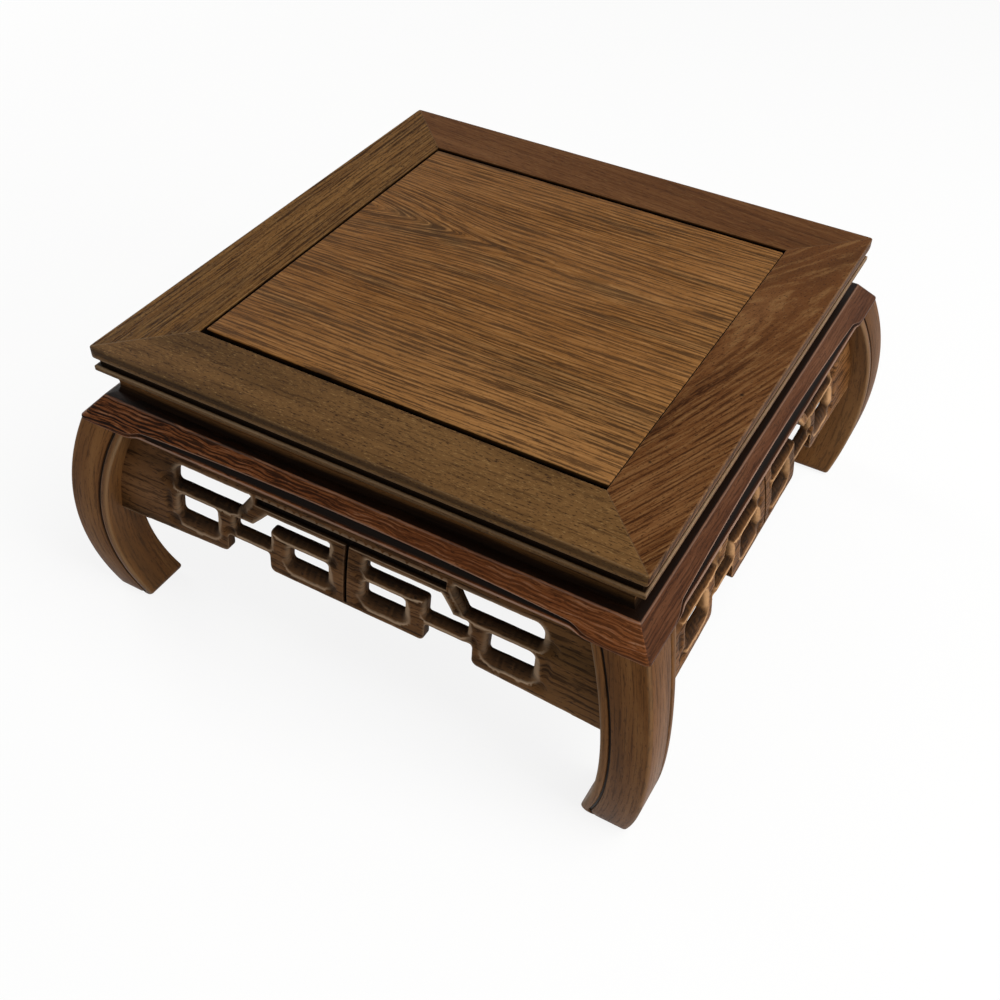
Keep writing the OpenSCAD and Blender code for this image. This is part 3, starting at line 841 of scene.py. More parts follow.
def swept(points: Array, side: Side, wear_and_highlight: Array, wax_and_shade: Array) -> Surface:
    """Close a swept section into a solid surface and turn it to its side.

    Args:
        points: stations by section points by (x, y, z), made for the front side.
        side: the side that it goes to.
        wear_and_highlight: how rubbed each section point is, with painted highlight, for all stations or for
            each.
        wax_and_shade: how dark each section point is with wax and painted shade, for all stations or for
            each.

    Returns:
        The surface, with a flat face at each end.
    """
    rows, columns, _ = points.shape
    faces = [face[::-1] for face in tube_faces(rows, columns)]
    flat = side.turn(points.reshape(-1, 3))
    rubbed_and_highlight, waxed_and_shaded = (np.broadcast_to(values, (rows, columns)).ravel() for values in (wear_and_highlight, wax_and_shade))
    return Surface(flat, faces, rubbed_and_highlight, waxed_and_shaded)


def eased(corners: Array, radii: Array, steps: int, longest: float) -> tuple[Array, Array]:
    """Round a section's arrises and mark how rubbed each point is, with a painted highlight.

    Args:
        corners: the section's corners, anticlockwise.
        radii: radius of each arris.
        steps: count of pieces in each arris.
        longest: longest straight piece.

    Returns:
        The section's points and their wear with painted highlight, 1 within three quarters of a radius of an
        arris and 0 elsewhere.
    """
    points = densify(fillet(corners, radii, steps), longest)
    gap = np.linalg.norm(points[:, None, :] - corners[None, :, :], axis=2)
    near = np.maximum(radii, LEAST_R)[None, :] * NEAR_ARRIS
    return points, (gap < near).any(1).astype(float)


@dataclass
class TopFrame:
    """The mitred frame of the top and its floating panel."""

    stand: Stand
    lip_h: float = 5.1
    groove_h: float = 2.6
    groove_d: float = 1.8
    lower_h: float = 2.0
    lower_in: float = 0.3
    waist_in: float = 4.2
    corner_r: float = 1.2
    # Radii of the section's arrises, from the inner foot outwards and up to the inner top
    arrises: tuple[float, ...] = (0.0, 0.4, 0.9, 0.4, 0.1, 0.1, 1.5, 0.45, 0.2)
    arris_steps: int = 5
    section_step: float = 0.7
    stations: int = 81
    mitre_gap: float = 0.05
    mitre_open_h: float = 0.6
    mitre_from: float = 0.994
    # How rubbed the left and right ends of the front's and the left's mitres are, and those of the others
    front_rub: Pair = (0.9, 0.3)
    left_rub: Pair = (0.3, 0.9)
    other_rub: Pair = (0.2, 0.2)
    # Painted highlight on the lips below the top: on the other sides, and on the front from its left end to
    # its right
    side_lip_glint: float = 0.7
    lip_glint: Pair = (1.0, 0.45)
    # Painted shade and painted highlights, with wax and rubbing: the groove, the shade under the lower bead,
    # the lip's two halves and the bead's edge
    groove_shade: float = 0.95
    shade_from: float = 0.8
    shade_h: float = 2.4
    lip_shade: Pair = (0.45, 0.5)
    lip_highlight: Pair = (0.4, 0.6)
    groove_share: float = 0.7
    bead_edge: float = 0.45
    bead_wear: float = 1.8
    top_wear: float = 0.35
    side_wear: float = 0.9
    clean_below: float = 0.35
    inner_w: float = 1.0
    # How near a point has to be to count as on a face, an arris, the ledge, the top or the lip's upper edge
    on_face: float = 0.2
    on_arris: float = 0.05
    on_ledge: float = 0.12
    on_top: float = 0.3
    on_lip: float = 0.5
    top_zone: float = 1.0
    # The panel: its thickness, its shrinkage gaps, where it sits in them, its arrises and its tongue
    panel_t: float = 8.4
    gap_front: float = 2.3
    gap_side: float = 0.85
    shift: float = 0.5
    panel_r: float = 0.6
    panel_step: float = 4.0
    panel_ease: float = 0.4
    panel_wear: float = 0.4
    tongue_low: float = 1.0
    tongue_high: float = 4.0
    edge_high: float = 6.5
    tongue_play: float = 0.05

    def section(self) -> tuple[Array, Array, Array]:
        """Section of a frame member, anticlockwise: a foot that slopes out to a bead, a groove and the lip.

        Returns:
            Points as (distance outwards, height), their wear with painted highlights and their wax with
            painted shade.
        """
        s = self.stand
        groove_top = s.top_z - self.lip_h
        lower_top = groove_top - self.groove_h
        lower_r = s.half - self.lower_in
        groove_r = s.half - self.groove_d
        corners = np.array([[s.open_half, s.frame_z], [s.half - self.waist_in, s.frame_z],
                            [lower_r, lower_top - self.lower_h], [lower_r, lower_top],
                            [groove_r, lower_top], [groove_r, groove_top], [s.half, groove_top],
                            [s.half, s.top_z], [s.open_half, s.top_z]])
        points, wear_and_highlight = eased(corners, np.array(self.arrises), self.arris_steps, self.section_step)
        r, z = points[:, 0], points[:, 1]
        outer = r > s.open_half + self.inner_w
        # Painted shade: the groove, the ledge on the lower bead, the frame's inner faces, the lip's upper
        # half and the slope under the lower bead
        groove = (z > lower_top - self.on_face) & (z < groove_top + self.on_face)
        groove = groove & (r < s.half - self.groove_share * self.groove_d)
        inner = (r < s.open_half + self.on_arris) & (z < s.top_z - self.on_top)
        ledge = (np.abs(z - lower_top) < self.on_ledge) & (r < lower_r - self.bead_edge)
        shade = np.clip((lower_top - self.shade_from - z) / self.shade_h, 0.0, self.groove_shade)
        shade = shade * (z < lower_top - self.on_top) * outer
        lip = (r > s.half - self.on_face) & (z > groove_top)
        upper_lip = lip & (z < s.top_z - self.on_lip) & (z > groove_top + self.lip_shade[0] * self.lip_h)
        shade = np.where(upper_lip, self.lip_shade[1], shade)
        wax_and_shade = np.where((groove | ledge) & outer, self.groove_shade, np.where(inner, 1.0, shade))
        # Painted highlights on the lip's lower half and on the lower bead's edge, over the rubbing
        wear_and_highlight = np.where(lip & (z < groove_top + self.lip_highlight[0] * self.lip_h), self.lip_highlight[1], wear_and_highlight)
        bead = (z > lower_top - self.bead_edge) & (z < lower_top + self.on_arris)
        bead = bead & (r > lower_r - self.bead_edge)
        wear_and_highlight = np.where(bead, self.bead_wear, wear_and_highlight)
        share = np.where(z > s.top_z - self.top_zone, self.top_wear, self.side_wear)
        return points, wear_and_highlight * share * (wax_and_shade < self.clean_below), wax_and_shade

    def build(self) -> None:
        """Make the four members and the panel: each member is its section carried between two mitres."""
        s = self.stand
        profile, wear_and_highlight, wax_and_shade = self.section()
        even = np.linspace(-1.0, 1.0, self.stations)
        share = np.unique(np.concatenate([even, [-self.mitre_from, self.mitre_from]]))
        top = profile[:, 1] > s.top_z - self.on_top
        gap = np.where(profile[:, 1] > s.top_z - self.mitre_open_h, self.mitre_gap, MITRE_SHUT)
        round_low = s.top_z - self.lip_h - 0.5 * self.groove_h
        points = mitred(profile, share, gap, s.half, self.corner_r, round_low)
        for side in Side:
            ends = {Side.FRONT: self.front_rub, Side.LEFT: self.left_rub}.get(side, self.other_rub)
            mitre = np.where(share == -1.0, ends[0], 0.0) + np.where(share == 1.0, ends[1], 0.0)
            # Below the top, the lips' wear carries a painted highlight, which fades from left to right on
            # the front
            left, right = self.lip_glint if side is Side.FRONT else (self.side_lip_glint, self.side_lip_glint)
            glint = (left + (right - left) * (share + 1) / 2)[:, None]
            rubbed_and_highlight = wear_and_highlight[None, :] * np.where(top[None, :], 1.0, glint)
            rubbed_and_highlight = np.maximum(rubbed_and_highlight, mitre[:, None] * top[None, :])
            label = f"top_frame_{side.label}"
            swept(points, side, rubbed_and_highlight, wax_and_shade).piece(f"{label}_eased", label, "frame_wood", self.wood(side))
        self.panel()

    def wood(self, side: Side) -> Material:
        """Finish of one member: each was sawn from another part of the log.

        Args:
            side: the member's side.

        Returns:
            The material.
        """
        middle = self.stand.half - 0.5 * (self.stand.half - self.stand.open_half)
        cuts = {
            Side.FRONT: (FRAME_WOOD, Cut(Grain.X, 310.0, (0.0, -middle, 100.0), pith=(40.0, -60.0),
                                         patches=FRONT_LIGHT_POOL)),
            Side.RIGHT: (RED_WOOD, Cut(Grain.Y, 520.0, (middle, 0.0, self.stand.top_z), 24.0,
                                       pith=(22.0, -30.0), flame=(-100.0, 100.0, 10.0),
                                       plain=(-25.0, 45.0, 0.12), knots=KNOTS)),
            Side.BACK: (BACK_WOOD, Cut(Grain.X, 730.0, (0.0, middle, 100.0), 6.0, pith=(30.0, -20.0))),
            Side.LEFT: (SIDE_WOOD, Cut(Grain.Y, 140.0, (-middle, 0.0, 100.0), pith=(50.0, -30.0))),
        }
        finish, sawn = cuts[side]
        return finish.material(side.label, sawn)

    def panel(self) -> None:
        """Make the panel: a rounded rectangle carried up from its underside, out to the tongue and back.

        Its top arris is a quarter round, inset by ease times one less the cosine.
        """
        s = self.stand
        half_x = s.open_half - self.gap_side
        half_y = s.open_half - self.gap_front
        low = s.top_z - self.panel_t
        corners = np.array([[half_x, -half_y], [half_x, half_y], [-half_x, half_y], [-half_x, -half_y]])
        outline = densify(fillet(corners, np.full(4, self.panel_r)), self.panel_step)
        angle = np.linspace(0.0, np.pi / 2, 5)
        levels = [0.0, self.tongue_low, self.tongue_low, self.tongue_high, self.tongue_high, self.edge_high]
        tongue = np.array([0.0, 0.0, 1.0, 1.0, 0.0, 0.0] + [0.0] * len(angle))
        inset = np.concatenate([np.zeros(len(levels)), self.panel_ease * (1 - np.cos(angle))])
        height = np.concatenate([low + np.array(levels), s.top_z - self.panel_ease * (1 - np.sin(angle))])
        reach = np.array([self.gap_side - self.shift, self.gap_front]) - self.tongue_play
        moved = inset[:, None, None] - tongue[:, None, None] * reach
        rings = outline[None] + inward(outline)[None] * moved
        rows, columns, _ = rings.shape
        level = np.broadcast_to(height[:, None, None], (rows, columns, 1))
        points = np.concatenate([rings + np.array([self.shift, 0.0]), level], axis=-1).reshape(-1, 3)
        # The top arris gets wear with a painted highlight; the tongue and the edge above it, in the frame's
        # groove, get painted shade
        wear_and_highlight = np.repeat((inset > 0).astype(float) * self.panel_wear, columns)
        wax_and_shade = np.repeat(np.array([0.0, 0.0, 0.0, 1.0, 1.0, 1.0, 0.8] + [0.0] * (len(angle) - 1)), columns)
        sawn = Cut(Grain.X, 40.0, (0.0, 0.0, s.top_z), pith=(24.5, -3.0), flame=(-95.0, -12.0, 15.0),
                   vee=1.5, patches=PANEL_PATCHES)
        Surface(points, tube_faces(rows, columns), wear_and_highlight, wax_and_shade).piece(
            "top_panel_eased", "top_panel", "panel_wood", PANEL_WOOD.material("top", sawn))


@dataclass
class Batten:
    """The dovetailed batten under the panel, which keeps its CAD solid."""

    node: str = "panel_batten"
    seed: float = 55.0

    def build(self) -> None:
        """Dress the CAD solid."""
        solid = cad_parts[self.node]
        solid.data.materials.clear()
        solid.data.materials.append(HIDDEN_WOOD.material("batten", Cut(Grain.Y, self.seed)))
        LOG.info("%s keeps its solid", self.node)


@dataclass
class Waist:
    """The four strips of the recessed waist."""

    stand: Stand
    inset: float = 4.2
    hollow: float = 0.8
    thickness: float = 8.5
    stations: int = 41
    face_steps: int = 17
    dark_h: float = 1.4
    fade_h: float = 4.0
    # Painted shade at the foot of the strip, where it meets the rail's ledge, and under the top
    foot_and_top_shade: Pair = (0.96, 0.06)
    seed: float = 210.0

    def build(self) -> None:
        """Carry the waist's section, a face hollowed to a parabola, round the four sides."""
        s = self.stand
        outer = s.half - self.inset
        t = np.linspace(-1.0, 1.0, self.face_steps)
        middle = (s.waist_z + s.frame_z) / 2
        rise = (s.frame_z - s.waist_z) / 2
        face = np.stack([outer - self.hollow * (1 - t ** 2), middle + rise * t], axis=1)
        back = np.array([[outer - self.thickness, s.frame_z], [outer - self.thickness, s.waist_z]])
        profile = np.concatenate([face, back])
        points = mitred(profile, np.linspace(-1.0, 1.0, self.stations), MITRE_SHUT)
        # Painted shade, darkest at the foot and fading up the face
        lit = np.clip((profile[:, 1] - s.waist_z - self.dark_h) / self.fade_h, 0.0, 1.0)
        wax_and_shade = self.foot_and_top_shade[0] + (self.foot_and_top_shade[1] - self.foot_and_top_shade[0]) * lit
        for number, side in enumerate(Side):
            label = f"waist_{side.label}"
            wood = WAIST_WOOD.material(side.label, Cut(side.grain, self.seed * number))
            strip = swept(points, side, np.zeros(len(profile)), wax_and_shade)
            strip.piece(f"{label}_strip", label, "waist_wood", wood)


@dataclass
class Rails:
    """The sloped rails, with a bead along their lower edges and a groove above it."""

    stand: Stand
    band: float = 1.2
    top_in: float = 0.8
    ledge: float = 0.5
    waist_in: float = 4.2
    rise: float = 1.5
    curve_l: float = 7.0
    leg_in: float = 86.95
    bead: float = 0.45
    bead_bulge: float = 0.25
    bead_steps: int = 9
    groove: float = 2.3
    groove_end: float = 1.0
    groove_half_l: float = 80.0
    groove_d: float = 0.9
    # Points across the groove and a little past it, as shares of its width and of its depth
    groove_at: tuple[float, ...] = (0.05, 0.15, 0.5, 0.85, 0.95, 1.0, 1.08, 1.16)
    groove_deep: tuple[float, ...] = (0.7, 1.0, 1.0, 0.9, 0.5, 0.0, 0.0, 0.0)
    line_reach: float = 2.0
    line_fade: float = 8.0
    slope_steps: int = 8
    slope_end: float = 0.7
    # Radius of the corners in plan at the upper arris and at the foot
    corner_r: Pair = (0.6, 1.8)
    # Rubbing with painted highlights on the bead, on the groove's upper edge and on the upper arris
    bead_wear: tuple[float, ...] = (1.0, 1.2, 1.4, 1.5, 1.6, 1.6, 1.2)
    bead_end_wear: float = 1.2
    groove_wear: float = 1.4
    arris_wear: Triple = (0.1, 0.9, 0.3)
    # Painted shade under the bead, in the groove and on the ledge under the waist
    foot_shade: float = 0.7
    groove_shade: tuple[float, ...] = (0.8, 1.0, 1.0, 1.0, 0.9)
    ledge_shade: float = 0.95
    # Stations as from, to and count, closer at the curves and at the corners
    runs: tuple[tuple[float, float, int], ...] = (
        (-1.0, 1.0, 121), (-0.92, -0.72, 41), (0.72, 0.92, 41), (0.95, 1.0, 17), (-1.0, -0.95, 17))
    seed: float = 170.0

    def lower_edge(self, x: Array) -> Array:
        """Height of the lower edge: raised between the legs, with a reverse curve of two arcs beside each.

        Args:
            x: distances along the side.

        Returns:
            Heights, from the rail's foot up to the foot plus the rise.
        """
        start = self.leg_in - self.curve_l
        t = np.clip((np.abs(x) - start) / self.curve_l, 0.0, 1.0)
        smooth = np.where(t < 0.5, 1 - 2 * t ** 2, 2 * (1 - t) ** 2)
        return self.stand.rail_z + self.rise * smooth

    def face(self, z: Array) -> Array:
        """Distance outwards of the rail's face: an upright band, then the straight slope to the ledge.

        Args:
            z: heights.

        Returns:
            Distances from the stand's middle.
        """
        s = self.stand
        low = s.rail_z + self.band
        high = s.waist_z - self.ledge
        share = np.clip((z - low) / (high - low), 0.0, 1.0)
        return s.rail_r + (s.half - self.top_in - s.rail_r) * share

    def section(self, x: Array, fade: Array) -> tuple[Array, Array]:
        """Section at each station: half-round bead, groove, slope, upper arris, ledge, back and foot.

        Args:
            x: stations along the side.
            fade: how much of the bead and the groove shows at each, as a column.

        Returns:
            Distances outwards and heights, each as stations by section points.
        """
        s = self.stand
        rows = len(x)
        foot = self.lower_edge(x)[:, None]
        angle = np.linspace(0.0, np.pi, self.bead_steps)
        middle = np.clip(1 - (x / self.groove_half_l) ** 2, 0.0, 1.0)[:, None]
        wide = self.groove_end + (self.groove - self.groove_end) * middle
        up_bead = np.broadcast_to(self.bead * (1 - np.cos(angle)) / 2, (rows, len(angle)))
        up_groove = self.bead + wide * np.array(self.groove_at)
        low_z = foot + np.concatenate([up_bead, up_groove], axis=1)
        out_bead = -self.bead_bulge * (1 - np.sin(angle)) * fade
        out_groove = -self.groove_d * np.array(self.groove_deep) * fade
        low_r = self.face(low_z) + np.concatenate([out_bead, out_groove], axis=1)
        top = s.waist_z - self.ledge
        share = np.linspace(0.0, 1.0, self.slope_steps + 1)[1:][None, :]
        high_z = low_z[:, -1:] + (top - self.slope_end - low_z[:, -1:]) * share
        edge_r = s.half - self.top_in
        # Up the face, round on to the ledge, under the waist and to the back
        over = np.array([[self.face(top - 0.4), top - 0.4], [self.face(top - 0.2), top - 0.18],
                         [edge_r - 0.15, top], [edge_r - 0.4, top + 0.08], [edge_r - 0.9, top + 0.15],
                         [s.half - self.waist_in - 1.0, s.waist_z], [s.rail_in_r, s.waist_z]])
        over_r, over_z = (np.broadcast_to(values, (rows, len(over))) for values in over.T)
        radius = np.concatenate([low_r, self.face(high_z), over_r, np.full((rows, 1), s.rail_in_r)], axis=1)
        return radius, np.concatenate([low_z, high_z, over_z, foot], axis=1)

    def cornered(self, share: Array, radius: Array, height: Array) -> Array:
        """Lay the sections along the front between its mitres and round the corners in plan.

        Points beyond the corner's centre are drawn back on to its arc, which is wider lower down.

        Args:
            share: stations, from -1 to 1.
            radius: distances outwards, as stations by section points.
            height: heights, in the same way.

        Returns:
            Points as stations by section points by (x, y, z).
        """
        s = self.stand
        top = s.waist_z - self.ledge
        least, most = self.corner_r
        along = share[:, None] * (radius - MITRE_SHUT)
        round_r = np.clip(least + (most - least) * (top - height) / (top - s.rail_z), 0.0, most)
        centre = radius - round_r
        dx = np.abs(along) - centre
        drawn = round_r / np.hypot(dx, round_r)
        beyond = (dx > 0) & (radius > s.half - self.waist_in)
        x = np.where(beyond, np.sign(along) * (centre + dx * drawn), along)
        distance = np.where(beyond, centre + round_r * drawn, radius)
        return np.stack([x, -distance, height], axis=-1)

    def marks(self, fade: Array, columns: int) -> tuple[Array, Array]:
        """Where the rails are rubbed with painted highlights, and where wax and painted shade darken them.

        Args:
            fade: how much of the bead and the groove shows at each station, as a column.
            columns: count of section points.

        Returns:
            Wear with painted highlights and wax with painted shade, each as stations by section points.
        """
        wear_and_highlight = np.zeros((len(fade), columns))
        wax_and_shade = np.zeros((len(fade), columns))
        bead = 1 + len(self.bead_wear)
        wear_and_highlight[:, 1:3] = self.bead_end_wear * (1 - fade)
        wear_and_highlight[:, 1:bead] += np.array(self.bead_wear) * fade
        edge = self.bead_steps + len(self.groove_shade)
        wear_and_highlight[:, edge:edge + 2] = self.groove_wear * fade
        arris = self.bead_steps + len(self.groove_at) + self.slope_steps
        ledge = arris + len(self.arris_wear)
        wear_and_highlight[:, arris:ledge] = self.arris_wear
        wax_and_shade[:, 0] = self.foot_shade
        wax_and_shade[:, self.bead_steps:edge] = np.array(self.groove_shade) * fade
        wax_and_shade[:, ledge:] = self.ledge_shade
        return wear_and_highlight, wax_and_shade

    def build(self) -> None:
        """Make the four rails from one run of sections, with more stations at the curves and the corners."""
        s = self.stand
        share = np.unique(np.round(np.concatenate([np.linspace(*run) for run in self.runs]), 5))
        x = share * s.rail_r
        fade = np.clip((self.leg_in + self.line_reach - np.abs(x)) / self.line_fade, 0.0, 1.0)[:, None]
        radius, height = self.section(x, fade)
        points = self.cornered(share, radius, height)
        wear_and_highlight, wax_and_shade = self.marks(fade, radius.shape[1])
        for number, side in enumerate(Side):
            label = f"apron_rail_{side.label}"
            wood = self.wood(side, self.seed * number)
            swept(points, side, wear_and_highlight, wax_and_shade).piece(f"{label}_moulded", label, "rail_wood", wood)

    def wood(self, side: Side, seed: float) -> Material:
        """Finish of one rail: striped, and calmer on the right.

        Args:
            side: the rail's side.
            seed: place along the log.

        Returns:
            The material.
        """
        finish = CALM_RAIL_WOOD if side is Side.RIGHT else RAIL_WOOD
        place = side.turn(np.array([[0.0, -self.stand.rail_r, self.stand.rail_z]]))[0]
        sawn = Cut(side.grain, seed, tuple(place.tolist()), pith=(4.0, -60.0), plain=(-40.0, 30.0, 0.6))
        return finish.material(side.label, sawn)


@dataclass
class Patchwork:
    """A mesh that is put together from rings and caps, whose lists grow in step."""

    points: list[Array] = field(default_factory=list)
    faces: Faces = field(default_factory=list)
    wear_and_highlight: list[Array] = field(default_factory=list)
    wax_and_shade: list[Array] = field(default_factory=list)

    @property
    def count(self) -> int:
        """How many points there are so far."""
        return sum(len(part) for part in self.points)

    def add(self, points: Array, faces: Faces, wear_and_highlight: Array, wax_and_shade: Array) -> None:
        """Add points with their faces and marks.

        Args:
            points: rows of (x, y, z).
            faces: lists of point numbers, counted in the whole mesh.
            wear_and_highlight: how rubbed each point is, with painted highlight.
            wax_and_shade: how dark each point is with wax and painted shade.
        """
        self.points.append(points)
        self.faces += faces
        self.wear_and_highlight.append(wear_and_highlight)
        self.wax_and_shade.append(wax_and_shade)

    def rings(self, solid: Array, wear_and_highlight: Array, wax_and_shade: Array) -> Array:
        """Add rings of points with quads between them.

        Args:
            solid: rings by points by (x, y, z), with the material on each ring's left.
            wear_and_highlight: how rubbed each point is, with painted highlight, as rings by points.
            wax_and_shade: how dark each point is with wax and painted shade, in the same way.

        Returns:
            Numbers of the points, as rings by points.
        """
        rows, columns, _ = solid.shape
        numbers = self.count + np.arange(rows * columns).reshape(rows, columns)
        quads = band_faces(numbers)[:, ::-1].tolist()
        self.add(solid.reshape(-1, 3), quads, wear_and_highlight.ravel(), wax_and_shade.ravel())
        return numbers

    def surface(self, side: Side) -> Surface:
        """The whole as one surface.

        Args:
            side: the side that it is turned to.

        Returns:
            The surface.
        """
        return Surface(side.turn(np.concatenate(self.points)), self.faces, np.concatenate(self.wear_and_highlight),
                       np.concatenate(self.wax_and_shade))


@dataclass
class FretAprons:
    """The pierced aprons: bowed boards sawn to a fret and eased with gouge and file."""

    stand: Stand
    bow_r: float = 126.0
    belly_z: float = 38.5
    apron_set: float = 7.4
    thickness: float = 3.6
    inner_r: float = 100.0
    inner_z: float = 37.5
    leg_w: float = 16.4
    rise: float = 1.5
    beam: float = 9.9
    tuck: float = 1.2
    tuck_x: float = 84.0
    tuck_ease: float = 0.2
    step: float = 0.7
    face_step: float = 0.9
    hidden_step: float = 2.0
    rim_steps: int = 7
    # Depths of the board's ends, of its feet's outer and inner ends and of its arches, then the arches'
    # sides, a place past the legs and the count of points down an end
    outline_d: tuple[float, float, float, float] = (39.2, 36.4, 36.1, 28.6)
    arch_x: Pair = (30.4, 48.0)
    past_leg: float = 96.0
    end_steps: int = 24
    # Easing of the outlines: the plain arris, the lower lip, the ends, then the slopes on bars and feet
    arris: float = 0.4
    lip: float = 0.75
    end_round: float = 1.8
    end_depth: float = 0.8
    wall_round: float = 0.8
    bar_slope: float = 2.4
    foot_slope: float = 4.8
    foot_d: float = 18.0
    slope_depth: float = 2.5
    slope_flat: float = 0.4
    outer_most: float = 0.45
    back_ease: float = 0.3
    # Widest easing at a tight inner corner, and the bend of an edge that makes one
    tight_most: float = 1.15
    tight_bend: float = 0.03
    # How many points a tight corner reaches over, and over how many the easing is evened out
    tight_run: int = 5
    even_run: int = 7
    # Most that an upward slope, a downward lip and an end may take of a bar's width
    bar_shares: Triple = (0.68, 0.23, 0.4)
    # Unevenness of saw, slopes and gouge, each by its strength and its wave's length
    saw_wave: Pair = (0.06, 17.0)
    slope_wave: Pair = (0.05, 7.3)
    gouge_wave: Pair = (0.15, 2.6)
    gouge_swell: float = 19.0
    ground_wave: Pair = (0.05, 23.0)
    ground_slant: float = 0.7
    ground_lead: float = 0.4
    lead_step: float = 1.7
    # Oval dips where a gouge cut runs out: distance from the centre, depth below the beam, half length, half
    # height and how deep
    scoops: tuple[tuple[float, float, float, float, float], ...] = (
        (72.5, 6.6, 5.0, 3.2, 1.3), (73.6, 15.5, 2.0, 5.5, 0.6), (71.6, 22.6, 3.6, 3.0, 0.9),
        (47.0, 17.0, 3.2, 2.4, 1.2), (5.4, 10.9, 2.6, 2.4, 0.7), (5.6, 22.0, 2.6, 3.0, 0.6),
        (42.0, 6.0, 2.6, 3.2, 0.5))
    # Painted shade in the dips, less on the right half where the light falls, and how much the dips dim the
    # painted highlights
    scoop_shade: float = 0.7
    right_scoop_shade: float = 0.5
    scoop_dims_highlight: float = 0.6
    # Rubbing and painted highlight over the rim: on every edge, added on downward ones and taken off upward
    # ones
    rim_wear: Triple = (0.5, 1.5, 0.45)
    # Rubbing and painted highlight where the face ends: on every edge, added on upward ones and on downward
    # ones
    face_wear: Triple = (0.1, 1.5, 0.4)
    # Painted light on the walls of the openings that face the left lamp
    lamp_wall_highlight: float = 0.8
    # Painted shade on the walls: on every edge, added on upward ones and taken off those that face left,
    # towards the lamp
    wall_shade: Triple = (0.45, 0.4, 0.3)
    # Wax and painted shade on the slopes: its level and what the gouge's waves add to it as painted shade
    # along the tool marks
    slope_wax_and_shade: Pair = (0.3, 0.3)
    # Share of the walls' painted shade on the back rim, and the most darkening anywhere
    back_rim: float = 0.5
    most_wax_and_shade: float = 0.9
    # Painted shade on the back and on the sunk line's floor
    back_shade: float = 0.3
    sunk_floor_shade: float = 1.0
    # The sunk line: depth, edges counted from the beam, half length, half the stem's width and its end
    sunk_d: float = 1.6
    sunk_high: float = -0.35
    sunk_low: float = 2.3
    sunk_half_l: float = 36.6
    stem_half_w: float = 0.6
    stem_d: float = 25.2
    # Its rim's width and depth, wear with painted highlight and painted shade from rim to floor, and the
    # share of the wear on upright edges
    sunk_ease: Pair = (0.12, 0.15)
    sunk_wear: Triple = (1.0, 0.3, 0.0)
    sunk_shade: Triple = (0.0, 0.6, 1.0)
    sunk_upright: float = 0.1
    # Inner points keep this share of their spacing from an outline, with the spacing held to this
    grid_clear: float = 0.4
    grid_most: float = 1.5
    weld: float = 1e-5
    seed: float = 130.0

    def height(self, depth: float) -> float:
        """Height above the floor of a depth below the apron's top edge."""
        return self.stand.rail_z + self.rise - depth

    def opening(self, corners: list[Pair], radii: list[float], mirror: bool) -> Array:
        """Outline of one opening, with the material on its left.

        Args:
            corners: corners as (distance from the centre, depth below the top edge), clockwise from outside.
            radii: radius at each corner.
            mirror: whether it belongs to the left half.

        Returns:
            The outline's points as (x, height).
        """
        sign = -1.0 if mirror else 1.0
        points = np.array([(sign * x, self.height(d)) for x, d in corners])
        loop = fillet(points, np.array(radii))
        area = (loop[:, 0] * np.roll(loop[:, 1], -1) - np.roll(loop[:, 0], -1) * loop[:, 1]).sum()
        return loop if area < 0 else loop[::-1]

    def openings(self, mirror: bool) -> list[Array]:
        """The four openings of one half of the fret.

        Args:
            mirror: whether it is the left half, whose diagonal was sawn a little nearer the middle.

        Returns:
            The outlines.
        """
        b = self.beam
        outer = [(38.7, b), (70.8, b), (70.8, b + 7.5), (44.3, b + 7.5)]
        loop = [(52.8, b + 10.9), (69.1, b + 10.9), (69.1, b + 19.3), (52.8, b + 19.3)]
        inner_loop = [(7.2, b + 12.5), (22.5, b + 12.5), (22.5, b + 19.0), (7.2, b + 19.0)]
        high, low, end = (31.6, 37.4, 45.0) if mirror else (34.8, 40.0, 45.6)
        inner = [(7.2, b + 4.4), (high, b + 4.4), (low, b + 10.2), (end, b + 10.2), (end, b + 15.3),
                 (30.4, b + 15.3), (30.4, b + 9.1), (7.2, b + 9.1)]
        shapes = [(outer, [0.7, 3.8, 1.6, 0.9]), (loop, [1.2, 2.4, 1.4, 1.2]),
                  (inner_loop, [1.2, 1.4, 1.4, 1.2]), (inner, [1.0, 0.8, 0.8, 0.9, 1.0, 0.8, 1.4, 1.0])]
        return [self.opening(corners, radii, mirror) for corners, radii in shapes]

    def outline(self) -> Array:
        """Outline of the board, let in by the tuck under the rail and behind the legs' inner circle.

        Returns:
            The outline's points as (x, height), anticlockwise.
        """
        centre = self.stand.belly_r - self.leg_w - self.inner_r
        top = self.height(0.0) + self.tuck
        end_low, foot_end, foot, arch = (self.height(d) for d in self.outline_d)
        z = np.linspace(end_low, top, self.end_steps)
        right_x = centre + np.sqrt((self.inner_r + self.tuck) ** 2 - (z - self.inner_z) ** 2)
        right = np.stack([right_x, z], axis=1)
        left = right[::-1] * np.array([-1.0, 1.0])
        near, far = self.arch_x
        past = self.past_leg
        half = [(near, foot), (near, arch), (far, arch), (far, foot_end), (past, end_low)]
        corners = np.array([(-x, z) for x, z in half[::-1]] + half + [(past, top), (-past, top)])
        radii = np.array([0.0, 2.4, 1.2, 1.2, 2.2, 2.2, 1.2, 1.2, 2.4, 0.0, 0.0, 0.0])
        lower = fillet(corners, radii)
        lower = lower[(lower[:, 1] < top - 1.0) & (np.abs(lower[:, 0]) < past - 1.0)]
        return np.concatenate([lower, right, left])

